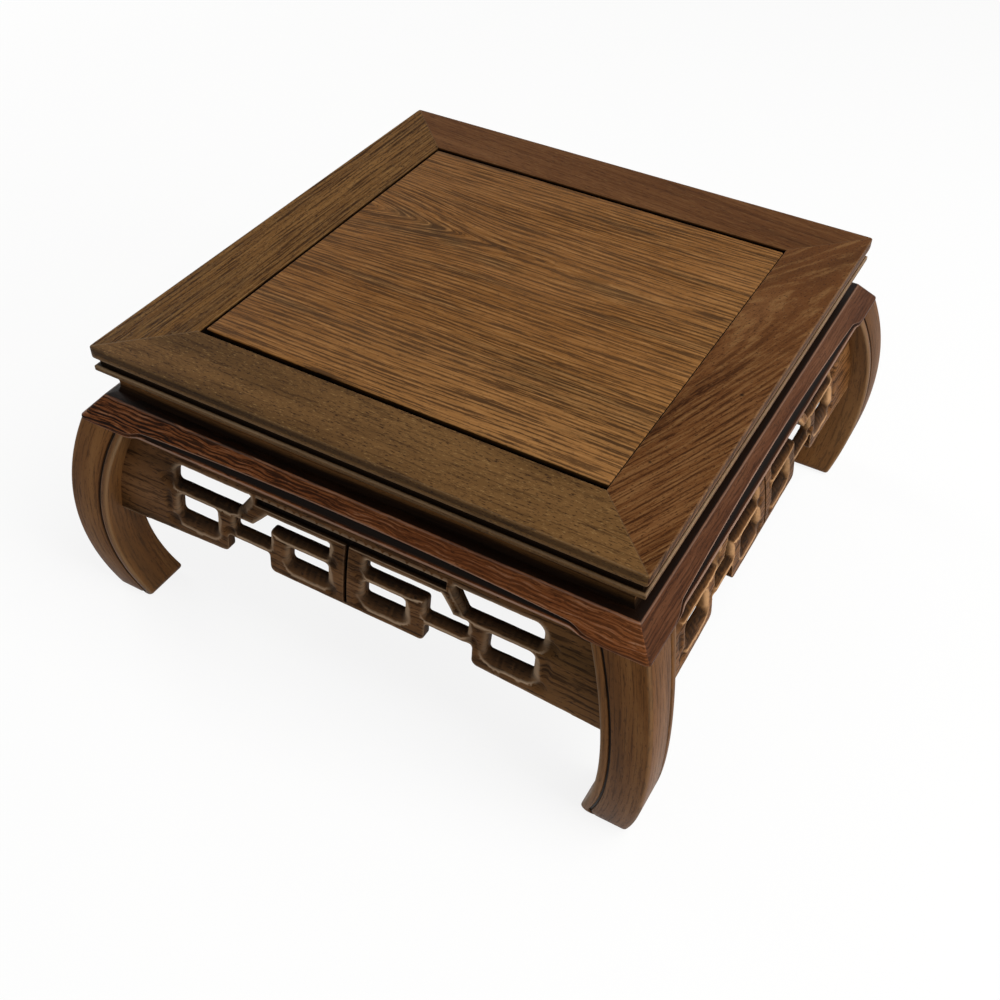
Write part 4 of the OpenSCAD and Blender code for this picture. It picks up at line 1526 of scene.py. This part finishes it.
    def chamfer(self, loop: Array, normal: Array) -> tuple[Array, Array, Array]:
        """Width and depth of the easing at each point of an outline.

        Upward edges are gouged into broad slopes, ends are rounded over and other edges are just eased.

        Args:
            loop: the outline.
            normal: its mitred inward normals.

        Returns:
            Width on the face, depth into the thickness, and how far the edge looks up, from -1 to 1.
        """
        unit = normal / np.linalg.norm(normal, axis=1, keepdims=True)
        up = np.clip(-unit[:, 1], 0.0, 1.0) ** 2
        down = np.clip(unit[:, 1], 0.0, 1.0) ** 2
        side = unit[:, 0] ** 2
        low = loop[:, 1] < self.height(self.beam + self.foot_d)
        broad = np.where(low, self.foot_slope, self.bar_slope)
        least = self.arris + (self.lip - self.arris) * down
        width = least + (self.end_round - self.arris) * side + up * (broad - self.arris)
        width = width + self.wall_round * np.clip(unit[:, 0], 0.0, 1.0) ** 2
        end_depth = self.end_depth * self.end_round - self.arris
        depth = least + end_depth * side + up * (self.slope_depth - self.arris)
        edge = np.roll(loop, -1, axis=0) - loop
        last = np.roll(edge, 1, axis=0)
        bend = last[:, 0] * edge[:, 1] - last[:, 1] * edge[:, 0]
        bend = bend / np.maximum(np.linalg.norm(edge, axis=1) * np.linalg.norm(last, axis=1), TINY)
        once = slice(len(loop), 2 * len(loop))
        reach = np.ones(self.tight_run)
        tight = np.convolve(np.tile(bend > self.tight_bend, 3), reach, "same")[once] > 0
        width = np.where(tight, np.minimum(width, self.tight_most), width)
        blur = np.ones(self.even_run) / self.even_run
        width, depth = (np.convolve(np.tile(v, 3), blur, "same")[once] for v in (width, depth))
        return width, depth, -unit[:, 1] * np.abs(unit[:, 1])

    def scooped(self, x: Array, z: Array) -> tuple[Array, Array]:
        """How deep the gouge went into the face: oval dips with smooth rims, on a slightly uneven ground.

        Args:
            x: places along the flat pattern.
            z: their heights.

        Returns:
            Depth in millimetres and the painted shade in the dip, from 0 to 1.
        """
        strength, wave = self.ground_wave
        depth = strength * (1 + ripple(x + self.ground_slant * z, wave, self.ground_lead))
        dark = np.zeros_like(x)
        for across, down, half_l, half_h, deep in self.scoops:
            dx = (np.abs(x) - across) / half_l
            dz = (z - self.height(self.beam + down)) / half_h
            share = np.clip(1 - dx ** 2 - dz ** 2, 0.0, 1.0)
            share = share ** 2 * (3 - 2 * share)
            depth = depth + deep * share
            dark = np.maximum(dark, share * np.where(x > 0.0, self.right_scoop_shade, 1.0))
        return depth, dark

    def bowed(self, x: Array, z: Array, depth: Array) -> Array:
        """Set points of the flat pattern on the bow: arcs about the legs' own centre, one for each depth.

        Args:
            x: places along the flat pattern.
            z: their heights.
            depth: how far behind the face.

        Returns:
            The points as (x, y, z) on the front side.
        """
        centre = self.stand.belly_r - self.bow_r
        radius = self.bow_r - self.apron_set - depth
        distance = centre + np.sqrt(radius ** 2 - (z - self.belly_z) ** 2)
        return np.stack([x, -distance, z], axis=-1)

    def sunk_line(self) -> Array:
        """Outline of the sunk line under the beam and down the middle post: a T.

        Returns:
            The outline's points as (x, height), with the material on its left.
        """
        top, low = self.beam + self.sunk_high, self.beam + self.sunk_low
        right = [(self.sunk_half_l, top), (self.sunk_half_l, low), (self.stem_half_w, low),
                 (self.stem_half_w, self.beam + self.stem_d)]
        left = [(-x, d) for x, d in right[::-1]]
        return self.opening(right + left, [0.3, 0.3, 0.15, 0.2, 0.2, 0.15, 0.3, 0.3], False)

    def fitted(self, loops: list[Array], index: int, normal: Array) -> tuple[Array, Array, Array]:
        """Easing of one outline, held to a share of the bars beside it, and slight where the board tucks in.

        Args:
            loops: all the outlines, the board's own first.
            index: which one to ease.
            normal: its mitred inward normals.

        Returns:
            Width on the face, depth into the thickness, and how far the edge looks up, from -1 to 1.
        """
        loop = loops[index]
        width, depth, look = self.chamfer(loop, normal)
        up, down = np.clip(look, 0.0, 1.0), np.clip(-look, 0.0, 1.0)
        others = np.concatenate([other for place, other in enumerate(loops) if place != index])
        bar = np.linalg.norm(loop[:, None] - others[None], axis=2).min(1)
        up_part, down_part, end_part = self.bar_shares
        width = np.minimum(width, bar * (up_part * up + down_part * down + end_part * (1 - up - down)))
        if index == 0:
            tucked = (loop[:, 1] > self.height(self.beam)) | (np.abs(loop[:, 0]) > self.tuck_x)
            width, depth = (np.where(tucked, self.tuck_ease, np.minimum(values, self.outer_most))
                            for values in (width, depth))
        return width, depth, look

    def edge(self, mesh: Patchwork, loops: list[Array], index: int, side: Side) -> tuple[Outline, Outline]:
        """Ease one outline: rings from the front face over the rim, and through the thickness to the back.

        Across the rim the width falls as one less the sine and the depth grows as one less the cosine, both
        drawn towards a straight line on upward slopes.

        Args:
            mesh: what the rings are added to.
            loops: all the outlines, the board's own first.
            index: which one to ease.
            side: the side that the apron goes to.

        Returns:
            The outlines on the front face and on the back.
        """
        loop = loops[index]
        phase = self.lead_step * index + side.value
        normal = inward(loop)
        width, depth, look = self.fitted(loops, index, normal)
        up, down = np.clip(look, 0.0, 1.0), np.clip(-look, 0.0, 1.0)
        faces_lamp = np.clip(normal[:, 0] / np.linalg.norm(normal, axis=1), 0.0, 1.0) ** 2 * (index > 0)
        run = np.arange(len(loop)) * self.step
        loop = loop + normal * (self.saw_wave[0] * ripple(run, self.saw_wave[1], phase))[:, None]
        swell = 0.5 + 0.5 * ripple(run, self.gouge_swell, 2.0 * phase)
        chatter = ripple(run, self.gouge_wave[1], phase) * swell
        width = width * (1 + self.slope_wave[0] * up * ripple(run, self.slope_wave[1], phase))
        angle = np.linspace(0.0, np.pi / 2, self.rim_steps)
        sine, cosine = np.sin(angle)[:, None], np.cos(angle)[:, None]
        wave = np.sin(2 * angle)[:, None]
        straight = (angle / angle[-1])[:, None]
        flat = self.slope_flat * up[None]
        front_in = width[None] * ((1 - sine) * (1 - flat) + (1 - straight) * flat)
        front_depth = depth[None] * ((1 - cosine) * (1 - flat) + straight * flat)
        front_depth = np.maximum(front_depth + (self.gouge_wave[0] * up * chatter)[None] * wave, 0.0)
        back_in = self.back_ease * (1 - cosine) * np.ones(len(loop))
        back_depth = self.thickness - self.back_ease * (1 - sine) * np.ones(len(loop))
        ring = loop[None] + normal[None] * np.concatenate([front_in, back_in])[..., None]
        front = slice(0, self.rim_steps)
        dip, dark = self.scooped(ring[front, :, 0], ring[front, :, 1])
        deep = np.concatenate([front_depth + dip * (1 - straight), back_depth])
        turned = np.concatenate([wave, np.zeros_like(wave)])
        # Wear with painted highlights round the rim; walls that face the left lamp get painted light, which
        # the dips dim
        plain, low, high = self.rim_wear
        rubbed_and_highlight = turned * (plain + low * down - high * up)[None]
        plain, high, low = self.face_wear
        rubbed_and_highlight[0] = plain + high * up + low * down
        rubbed_and_highlight[1:self.rim_steps] += self.lamp_wall_highlight * faces_lamp[None]
        rubbed_and_highlight[front] *= 1 - self.scoop_dims_highlight * dark
        # Painted shade on the walls and upward slopes, less where they face the lamp, and in the dips
        inner = np.concatenate([straight[:, 0], np.ones(2), np.full(self.rim_steps - 2, self.back_rim)])
        plain, high, lit = self.wall_shade
        dirt_and_shade = inner[:, None] * (plain + high * up - lit * faces_lamp)[None]
        dirt_and_shade = dirt_and_shade + turned * (self.slope_wax_and_shade[0] + self.slope_wax_and_shade[1] * chatter) * up[None]
        dirt_and_shade[0] = 0.0
        dirt_and_shade[front] = np.maximum(dirt_and_shade[front], self.scoop_shade * dark * (1 - straight))
        solid = self.bowed(ring[..., 0], ring[..., 1], deep)
        numbers = mesh.rings(solid, rubbed_and_highlight, np.clip(dirt_and_shade, 0.0, self.most_wax_and_shade))
        return (ring[0], numbers[0]), (ring[-1], numbers[-1])

    def sink(self, mesh: Patchwork) -> tuple[Outline, Outline]:
        """Sink the line under the beam: three rings, from an eased rim straight down to its floor.

        Args:
            mesh: what the rings are added to.

        Returns:
            The outlines on the front face and at the floor.
        """
        line = densify(self.sunk_line(), self.step)
        normal = inward(line)
        ring = line[None] + normal[None] * np.array([self.sunk_ease[0], 0.0, 0.0])[:, None, None]
        shape = ring.shape[:2]
        deep = np.broadcast_to(np.array([0.0, self.sunk_ease[1], self.sunk_d])[:, None], shape)
        # A painted highlight along the rim, strongest on level edges, and painted shade down to the floor
        level = np.clip(np.abs(normal[:, 1]), 0.0, 1.0) ** 2
        wear_and_highlight = np.array(self.sunk_wear)[:, None] * (self.sunk_upright + (1 - self.sunk_upright) * level)
        wax_and_shade = np.broadcast_to(np.array(self.sunk_shade)[:, None], shape)
        numbers = mesh.rings(self.bowed(ring[..., 0], ring[..., 1], deep), wear_and_highlight, wax_and_shade)
        return (ring[0], numbers[0]), (ring[-1], numbers[-1])

    def surface(self, side: Side) -> Surface:
        """Mesh one apron: eased rims round every outline, with triangles between them on front and back.

        Args:
            side: the side that it goes to.

        Returns:
            The surface of the whole apron.
        """
        loops = [self.outline()] + self.openings(False) + self.openings(True)
        loops = [densify(loop, self.step) for loop in loops]
        mesh = Patchwork()
        edges = [self.edge(mesh, loops, index, side) for index in range(len(loops))]
        sunk_rim, sunk_floor = self.sink(mesh)
        rims = [rim for rim, _ in edges] + [sunk_rim]
        ends = [end for _, end in edges]
        flat, faces = self.cap(rims, mesh.count, False, self.face_step)
        # The face's inner points get the dips' painted shade
        dip, dark = self.scooped(flat[:, 0], flat[:, 1])
        mesh.add(self.bowed(flat[:, 0], flat[:, 1], dip), faces, np.zeros(len(flat)), self.scoop_shade * dark)
        # The back and the sunk line's floor get painted shade
        for group, depth, flip, darkening in ((ends, self.thickness, True, self.back_shade),
                                          ([sunk_floor], self.sunk_d, False, self.sunk_floor_shade)):
            flat, faces = self.cap(group, mesh.count, flip, self.hidden_step)
            none, full = np.zeros(len(flat)), np.ones(len(flat))
            mesh.add(self.bowed(flat[:, 0], flat[:, 1], depth * full), faces, none, darkening * full)
        return mesh.surface(side)

    def cap(self, group: list[Outline], base: int, flip: bool, spacing: float) -> tuple[Array, Faces]:
        """Fill a face between outlines with triangles, over an even grid of inner points.

        Args:
            group: outlines with the numbers of their points.
            base: number that the first new point gets.
            flip: whether the face looks backwards.
            spacing: distance between inner points.

        Returns:
            The new inner points as (x, height) and the triangles.
        """
        rim = np.concatenate([loop for loop, _ in group])
        numbers = np.concatenate([ids for _, ids in group])
        edges: list[tuple[int, int]] = []
        start = 0
        for loop, _ in group:
            count = np.arange(len(loop))
            edges += np.stack([start + count, start + np.roll(count, -1)], axis=1).tolist()
            start += len(loop)
        low, high = rim.min(0), rim.max(0)
        xs = np.arange(low[0] + 1.0, high[0], spacing)
        zs = np.arange(low[1] + 1.0, high[1], spacing)
        inner = np.stack(np.meshgrid(xs, zs), axis=-1).reshape(-1, 2)
        inner = inner[self.inside(inner, group, self.grid_clear * min(spacing, self.grid_most))]
        coords = [Vector(p) for p in np.concatenate([rim, inner]).tolist()]
        found, _, triangles, origin, _, _ = delaunay_2d_cdt(coords, edges, [], 0, self.weld)
        source = np.array([o[0] if o else -1 for o in origin])
        placed = np.array([tuple(v) for v in found])
        extra = np.nonzero(source < 0)[0]
        source[extra] = len(rim) + len(inner) + np.arange(len(extra))
        inner = np.concatenate([inner, placed[extra]])
        lookup = np.concatenate([numbers, base + np.arange(len(inner))])
        corner = np.array(triangles)
        corner = corner[self.inside(placed[corner].mean(1), group, 0.0)]
        faces = lookup[source[corner]]
        return inner, (faces[:, ::-1] if flip else faces).tolist()

    @staticmethod
    def inside(points: Array, group: list[Outline], margin: float) -> Array:
        """Whether points lie in the material, by counting the outlines' edges to their right.

        Args:
            points: points as (x, height).
            group: outlines with the numbers of their points.
            margin: least distance from any outline point.

        Returns:
            One truth value for each point.
        """
        count = np.zeros(len(points), int)
        clear = np.ones(len(points), bool)
        px, pz = points[:, None, 0], points[:, None, 1]
        for loop, _ in group:
            nxt = np.roll(loop, -1, axis=0)
            rise = nxt[:, 1] - loop[:, 1]
            rise = np.where(np.abs(rise) < TINY, TINY, rise)
            cross = loop[None, :, 0] + (pz - loop[None, :, 1]) / rise * (nxt - loop)[None, :, 0]
            crosses = (loop[None, :, 1] > pz) != (nxt[None, :, 1] > pz)
            count += (crosses & (cross > px)).sum(1)
            if margin > 0.0:
                clear &= np.linalg.norm(points[:, None] - loop[None], axis=2).min(1) > margin
        return (count % 2 == 1) & clear

    def build(self) -> None:
        """Make the four aprons."""
        for number, side in enumerate(Side):
            label = f"fret_apron_{side.label}"
            finish = LIT_FRET_WOOD if side is Side.RIGHT else FRET_WOOD
            patches = FRET_LIGHT_POOL if side is Side.FRONT else ()
            wood = finish.material(side.label, Cut(side.grain, self.seed * number, patches=patches))
            self.surface(side).piece(f"{label}_carved", label, "fret_wood", wood)


@dataclass
class Legs:
    """The bowed legs, square in section, with a bead along each inner edge and toes turned in."""

    stand: Stand
    bow_r: float = 126.0
    belly_z: float = 38.5
    leg_w: float = 16.4
    inner_r: float = 100.0
    inner_z: float = 37.5
    toe_r: float = 3.0
    sole_ease: float = 0.4
    sole_h: float = 0.5
    # The edge bead: width, its round at the arris and at the line, then the line's width and depth
    bead: float = 3.0
    bead_rim: float = 1.1
    bead_roll: float = 0.8
    bead_steps: int = 6
    line: float = 0.85
    line_d: float = 0.8
    # Points across the line, as shares of its width and of its depth
    line_at: tuple[float, ...] = (0.3, 0.7, 1.0, 1.25)
    line_deep: tuple[float, ...] = (1.0, 0.9, 0.15, 0.0)
    corner_r: float = 1.4
    most_lean: float = 0.6
    corner_steps: int = 4
    # Wear with painted highlights, and painted shade in the line, of one face, from the inner arris over the
    # bead and the line to the corner's middle
    face_wear: tuple[float, ...] = (0.2, 0.5, 0.7, 0.7, 0.5, 0.3, 0.1, 0.1, 0.1, 0.1, 0.1, 0.1, 0.1,
                                    0.0, 0.0, 0.0, 0.0, 0.0, 0.15, 0.3, 0.4)
    face_shade: tuple[float, ...] = (0.0, 0.0, 0.0, 0.0, 0.0, 0.0, 0.0, 0.0, 0.0, 0.0, 0.0, 0.4, 0.9,
                                    1.0, 0.9, 0.4, 0.0, 0.0, 0.0, 0.0, 0.0)
    seed: float = 90.0

    def outer(self, z: Array) -> Array:
        """Distance outwards of the outer faces: the bow's circle, drawn in a little at the sole.

        Args:
            z: heights.

        Returns:
            Distances from the stand's middle.
        """
        centre = self.stand.belly_r - self.bow_r
        ease = self.sole_ease * np.clip(1 - z / self.sole_h, 0.0, 1.0) ** 2
        return centre + np.sqrt(self.bow_r ** 2 - (z - self.belly_z) ** 2) - ease

    def inner(self, z: Array) -> Array:
        """Distance outwards of the inner faces: the inner circle, then the toe's round where they touch.

        Args:
            z: heights.

        Returns:
            Distances from the stand's middle.
        """
        centre = self.stand.belly_r - self.leg_w - self.inner_r
        curve = centre + np.sqrt(self.inner_r ** 2 - (z - self.inner_z) ** 2)
        toe_c = centre + np.sqrt((self.inner_r + self.toe_r) ** 2 - (self.inner_z - self.toe_r) ** 2)
        touch = self.toe_r + self.toe_r * (self.inner_z - self.toe_r) / (self.inner_r + self.toe_r)
        toe = toe_c - np.sqrt(np.maximum(self.toe_r ** 2 - (z - self.toe_r) ** 2, 0.0))
        return np.where(z < touch, toe, curve)

    def face(self, z: Array) -> tuple[Array, Array]:
        """One outer face at each height, from the inner arris over bead and line to the corner's middle.

        The bead's rounds and the corner are quarter and eighth circles; widths grow with the leg's lean.

        Args:
            z: heights.

        Returns:
            Places across the face and how far out they lie, each as heights by points.
        """
        low, high = self.inner(z)[:, None], self.outer(z)[:, None]
        lean = np.minimum(np.abs(z - self.inner_z) / self.inner_r, self.most_lean)
        slope = 1.0 / np.sqrt(1 - lean ** 2)
        angle = np.linspace(0.0, np.pi / 2, self.bead_steps)
        across = np.concatenate([self.bead_rim * (1 - np.cos(angle)), [self.bead * 0.5],
                                 self.bead - self.bead_roll * (1 - np.sin(angle)),
                                 self.bead + self.line * np.array(self.line_at)])
        turn = np.linspace(0.0, np.pi / 4, self.corner_steps)
        depth = np.concatenate([self.bead_rim * (1 - np.sin(angle)), [0.0],
                                self.bead_roll * (1 - np.cos(angle)), self.line_d * np.array(self.line_deep),
                                self.corner_r * (1 - np.cos(turn))])
        corner = high - self.corner_r * (1 - np.sin(turn))[None, :]
        places = np.concatenate([low + across[None, :] * slope[:, None], corner], axis=1)
        return places, high - depth[None, :]

    def surface(self, turn: Side) -> Surface:
        """Mesh one leg as rings of one section at many heights, each ring a square with its arrises worked.

        Args:
            turn: quarter turns from the front right corner.

        Returns:
            The leg's surface, closed at its sole and its top.
        """
        runs = ((0.0, 1.0, 7), (1.0, 5.0, 13), (5.0, self.stand.rail_z, 76))
        z = np.unique(np.concatenate([np.linspace(*run) for run in runs]))
        face_x, face_out = self.face(z)
        low, high = self.inner(z)[:, None], self.outer(z)
        x = np.concatenate([face_x, face_out[:, -2::-1], low], axis=1)
        y = -np.concatenate([face_out, face_x[:, -2::-1], low], axis=1)
        rows, columns = x.shape
        points = np.stack([x, y, np.broadcast_to(z[:, None], (rows, columns))], axis=-1)
        lie = points + np.stack([-high, high, np.zeros(rows)], axis=-1)[:, None, :]
        wear_and_highlight, wax_and_shade = (np.tile(np.concatenate([values, values[-2::-1], [0.0]]), rows)
                      for values in (self.face_wear, self.face_shade))
        return Surface(turn.turn(points.reshape(-1, 3)), tube_faces(rows, columns), wear_and_highlight, wax_and_shade,
                       lie.reshape(-1, 3))

    def build(self) -> None:
        """Make the four legs, turned from the front right corner."""
        corners = {Side.FRONT: "front_right", Side.RIGHT: "back_right", Side.BACK: "back_left",
                   Side.LEFT: "front_left"}
        for number, (turn, corner) in enumerate(corners.items()):
            label = f"leg_{corner}"
            sawn = Cut(Grain.Z, self.seed * number, pith=(-25.0, -35.0), follows=True)
            self.surface(turn).piece(f"{label}_bowed", label, "leg_wood", LEG_WOOD.material(corner, sawn))


@dataclass
class Studio:
    """Pale floor, soft lamps and the camera, in metres."""

    eye: Triple = (0.17016, -0.31223, 0.34487)
    right: Triple = (0.868327675, 0.495645497, 0.018509184)
    down: Triple = (0.352845160, -0.591066560, -0.725355509)
    forward: Triple = (-0.348579032, 0.636377139, -0.688125567)
    lens_px: float = 1205.93
    image_px: float = 1000.0
    sensor_mm: float = 36.0
    clip: Pair = (0.01, 50.0)
    floor_half: float = 6.0
    floor_colour: str = "#f4f4f2"
    white: str = "#ffffff"
    floor_glow: float = 0.86
    sky: float = 0.2
    aim: Triple = (0.0, 0.0, 0.06)
    # Square soft lamps: name, place, side and watts
    lamps: tuple[tuple[str, Triple, float, float], ...] = (
        ("overhead", (0.6, -0.05, 1.1), 0.8, 11.0), ("right_window", (1.2, -0.1, 0.5), 0.7, 8.0),
        ("left_window", (-1.3, 0.3, 0.4), 0.8, 10.0), ("front_fill", (-0.5, -1.2, 0.8), 0.9, 0.9))

    @staticmethod
    def seen(tree: Tree) -> Socket:
        """Whether a ray comes from the eye, off a glossy surface or through glass.

        Args:
            tree: the node tree.

        Returns:
            0 or 1.
        """
        path = add(tree, "ShaderNodeLightPath").outputs
        bare = add(tree, "ShaderNodeMath", {0: path["Is Camera Ray"], 1: path["Is Glossy Ray"]},
                   operation="MAXIMUM")
        return add(tree, "ShaderNodeMath", {0: bare.outputs[0], 1: path["Is Transmission Ray"]},
                   operation="MAXIMUM").outputs[0]

    def camera(self) -> None:
        """Set the camera at the photograph's place, with its axes as right, up and backwards."""
        data = bpy.data.cameras.new("camera")
        data.sensor_width = self.sensor_mm
        data.lens = self.lens_px / self.image_px * self.sensor_mm
        data.clip_start, data.clip_end = self.clip
        result = bpy.data.objects.new("camera", data)
        axes = np.array([self.right, -np.array(self.down), -np.array(self.forward)]).T
        place = Matrix(axes.tolist()).to_4x4()
        place.translation = Vector(self.eye)
        result.matrix_world = place
        bpy.context.scene.collection.objects.link(result)
        bpy.context.scene.camera = result

    def floor(self) -> None:
        """Lay a floor of matt pale card, which is near white to the eye and keeps a soft shadow."""
        h = self.floor_half
        mesh = bpy.data.meshes.new("floor")
        mesh.from_pydata([(-h, -h, 0.0), (h, -h, 0.0), (h, h, 0.0), (-h, h, 0.0)], [], [[0, 1, 2, 3]])
        material = bpy.data.materials.new("matt_pale_card")
        material.use_nodes = True
        tree = material.node_tree
        tree.nodes.clear()
        share = add(tree, "ShaderNodeMath", {0: self.seen(tree), 1: self.floor_glow}, operation="MULTIPLY")
        matt = add(tree, "ShaderNodeBsdfDiffuse", {"Color": linear(self.floor_colour)})
        white = add(tree, "ShaderNodeEmission", {"Color": linear(self.white), "Strength": 1.0})
        mix = add(tree, "ShaderNodeMixShader", {0: share.outputs[0], 1: matt.outputs[0],
                                                2: white.outputs[0]})
        add(tree, "ShaderNodeOutputMaterial", {"Surface": mix.outputs[0]})
        mesh.materials.append(material)
        result = bpy.data.objects.new("floor", mesh)
        bpy.context.scene.collection.objects.link(result)

    def lamp(self, name: str, place: Triple, size: float, power: float) -> None:
        """Hang a square soft lamp that looks at the stand.

        Args:
            name: name of the lamp.
            place: where it hangs.
            size: side of the square.
            power: watts.
        """
        data = bpy.data.lights.new(name, "AREA")
        data.shape = "SQUARE"
        data.size = size
        data.energy = power
        result = bpy.data.objects.new(name, data)
        result.location = place
        direction = Vector(self.aim) - Vector(place)
        result.rotation_euler = direction.to_track_quat("-Z", "Y").to_euler()
        bpy.context.scene.collection.objects.link(result)

    def build(self) -> None:
        """Set the view transform, then the world, which is white to the eye and dim to the stand."""
        scene = bpy.context.scene
        scene.view_settings.view_transform = "Standard"
        world = bpy.data.worlds.new("studio")
        world.use_nodes = True
        tree = world.node_tree
        tree.nodes.clear()
        level = add(tree, "ShaderNodeMapRange", {
            "Value": self.seen(tree), "To Min": self.sky, "To Max": 1.0})
        light = add(tree, "ShaderNodeBackground", {
            "Color": linear(self.white), "Strength": level.outputs[0]})
        add(tree, "ShaderNodeOutputWorld", {"Surface": light.outputs[0]})
        scene.world = world
        self.floor()
        for lamp in self.lamps:
            self.lamp(*lamp)
        self.camera()


def main() -> None:
    """Build the stand's looks in order, then the studio round it."""
    logging.basicConfig(level=logging.INFO, format="%(message)s")
    stand = Stand.measure()
    LOG.info("stand %s", stand)
    TopFrame(stand).build()
    Waist(stand).build()
    Rails(stand).build()
    FretAprons(stand).build()
    Legs(stand).build()
    Batten().build()
    Studio().build()


if __name__ == "__main__":
    main()
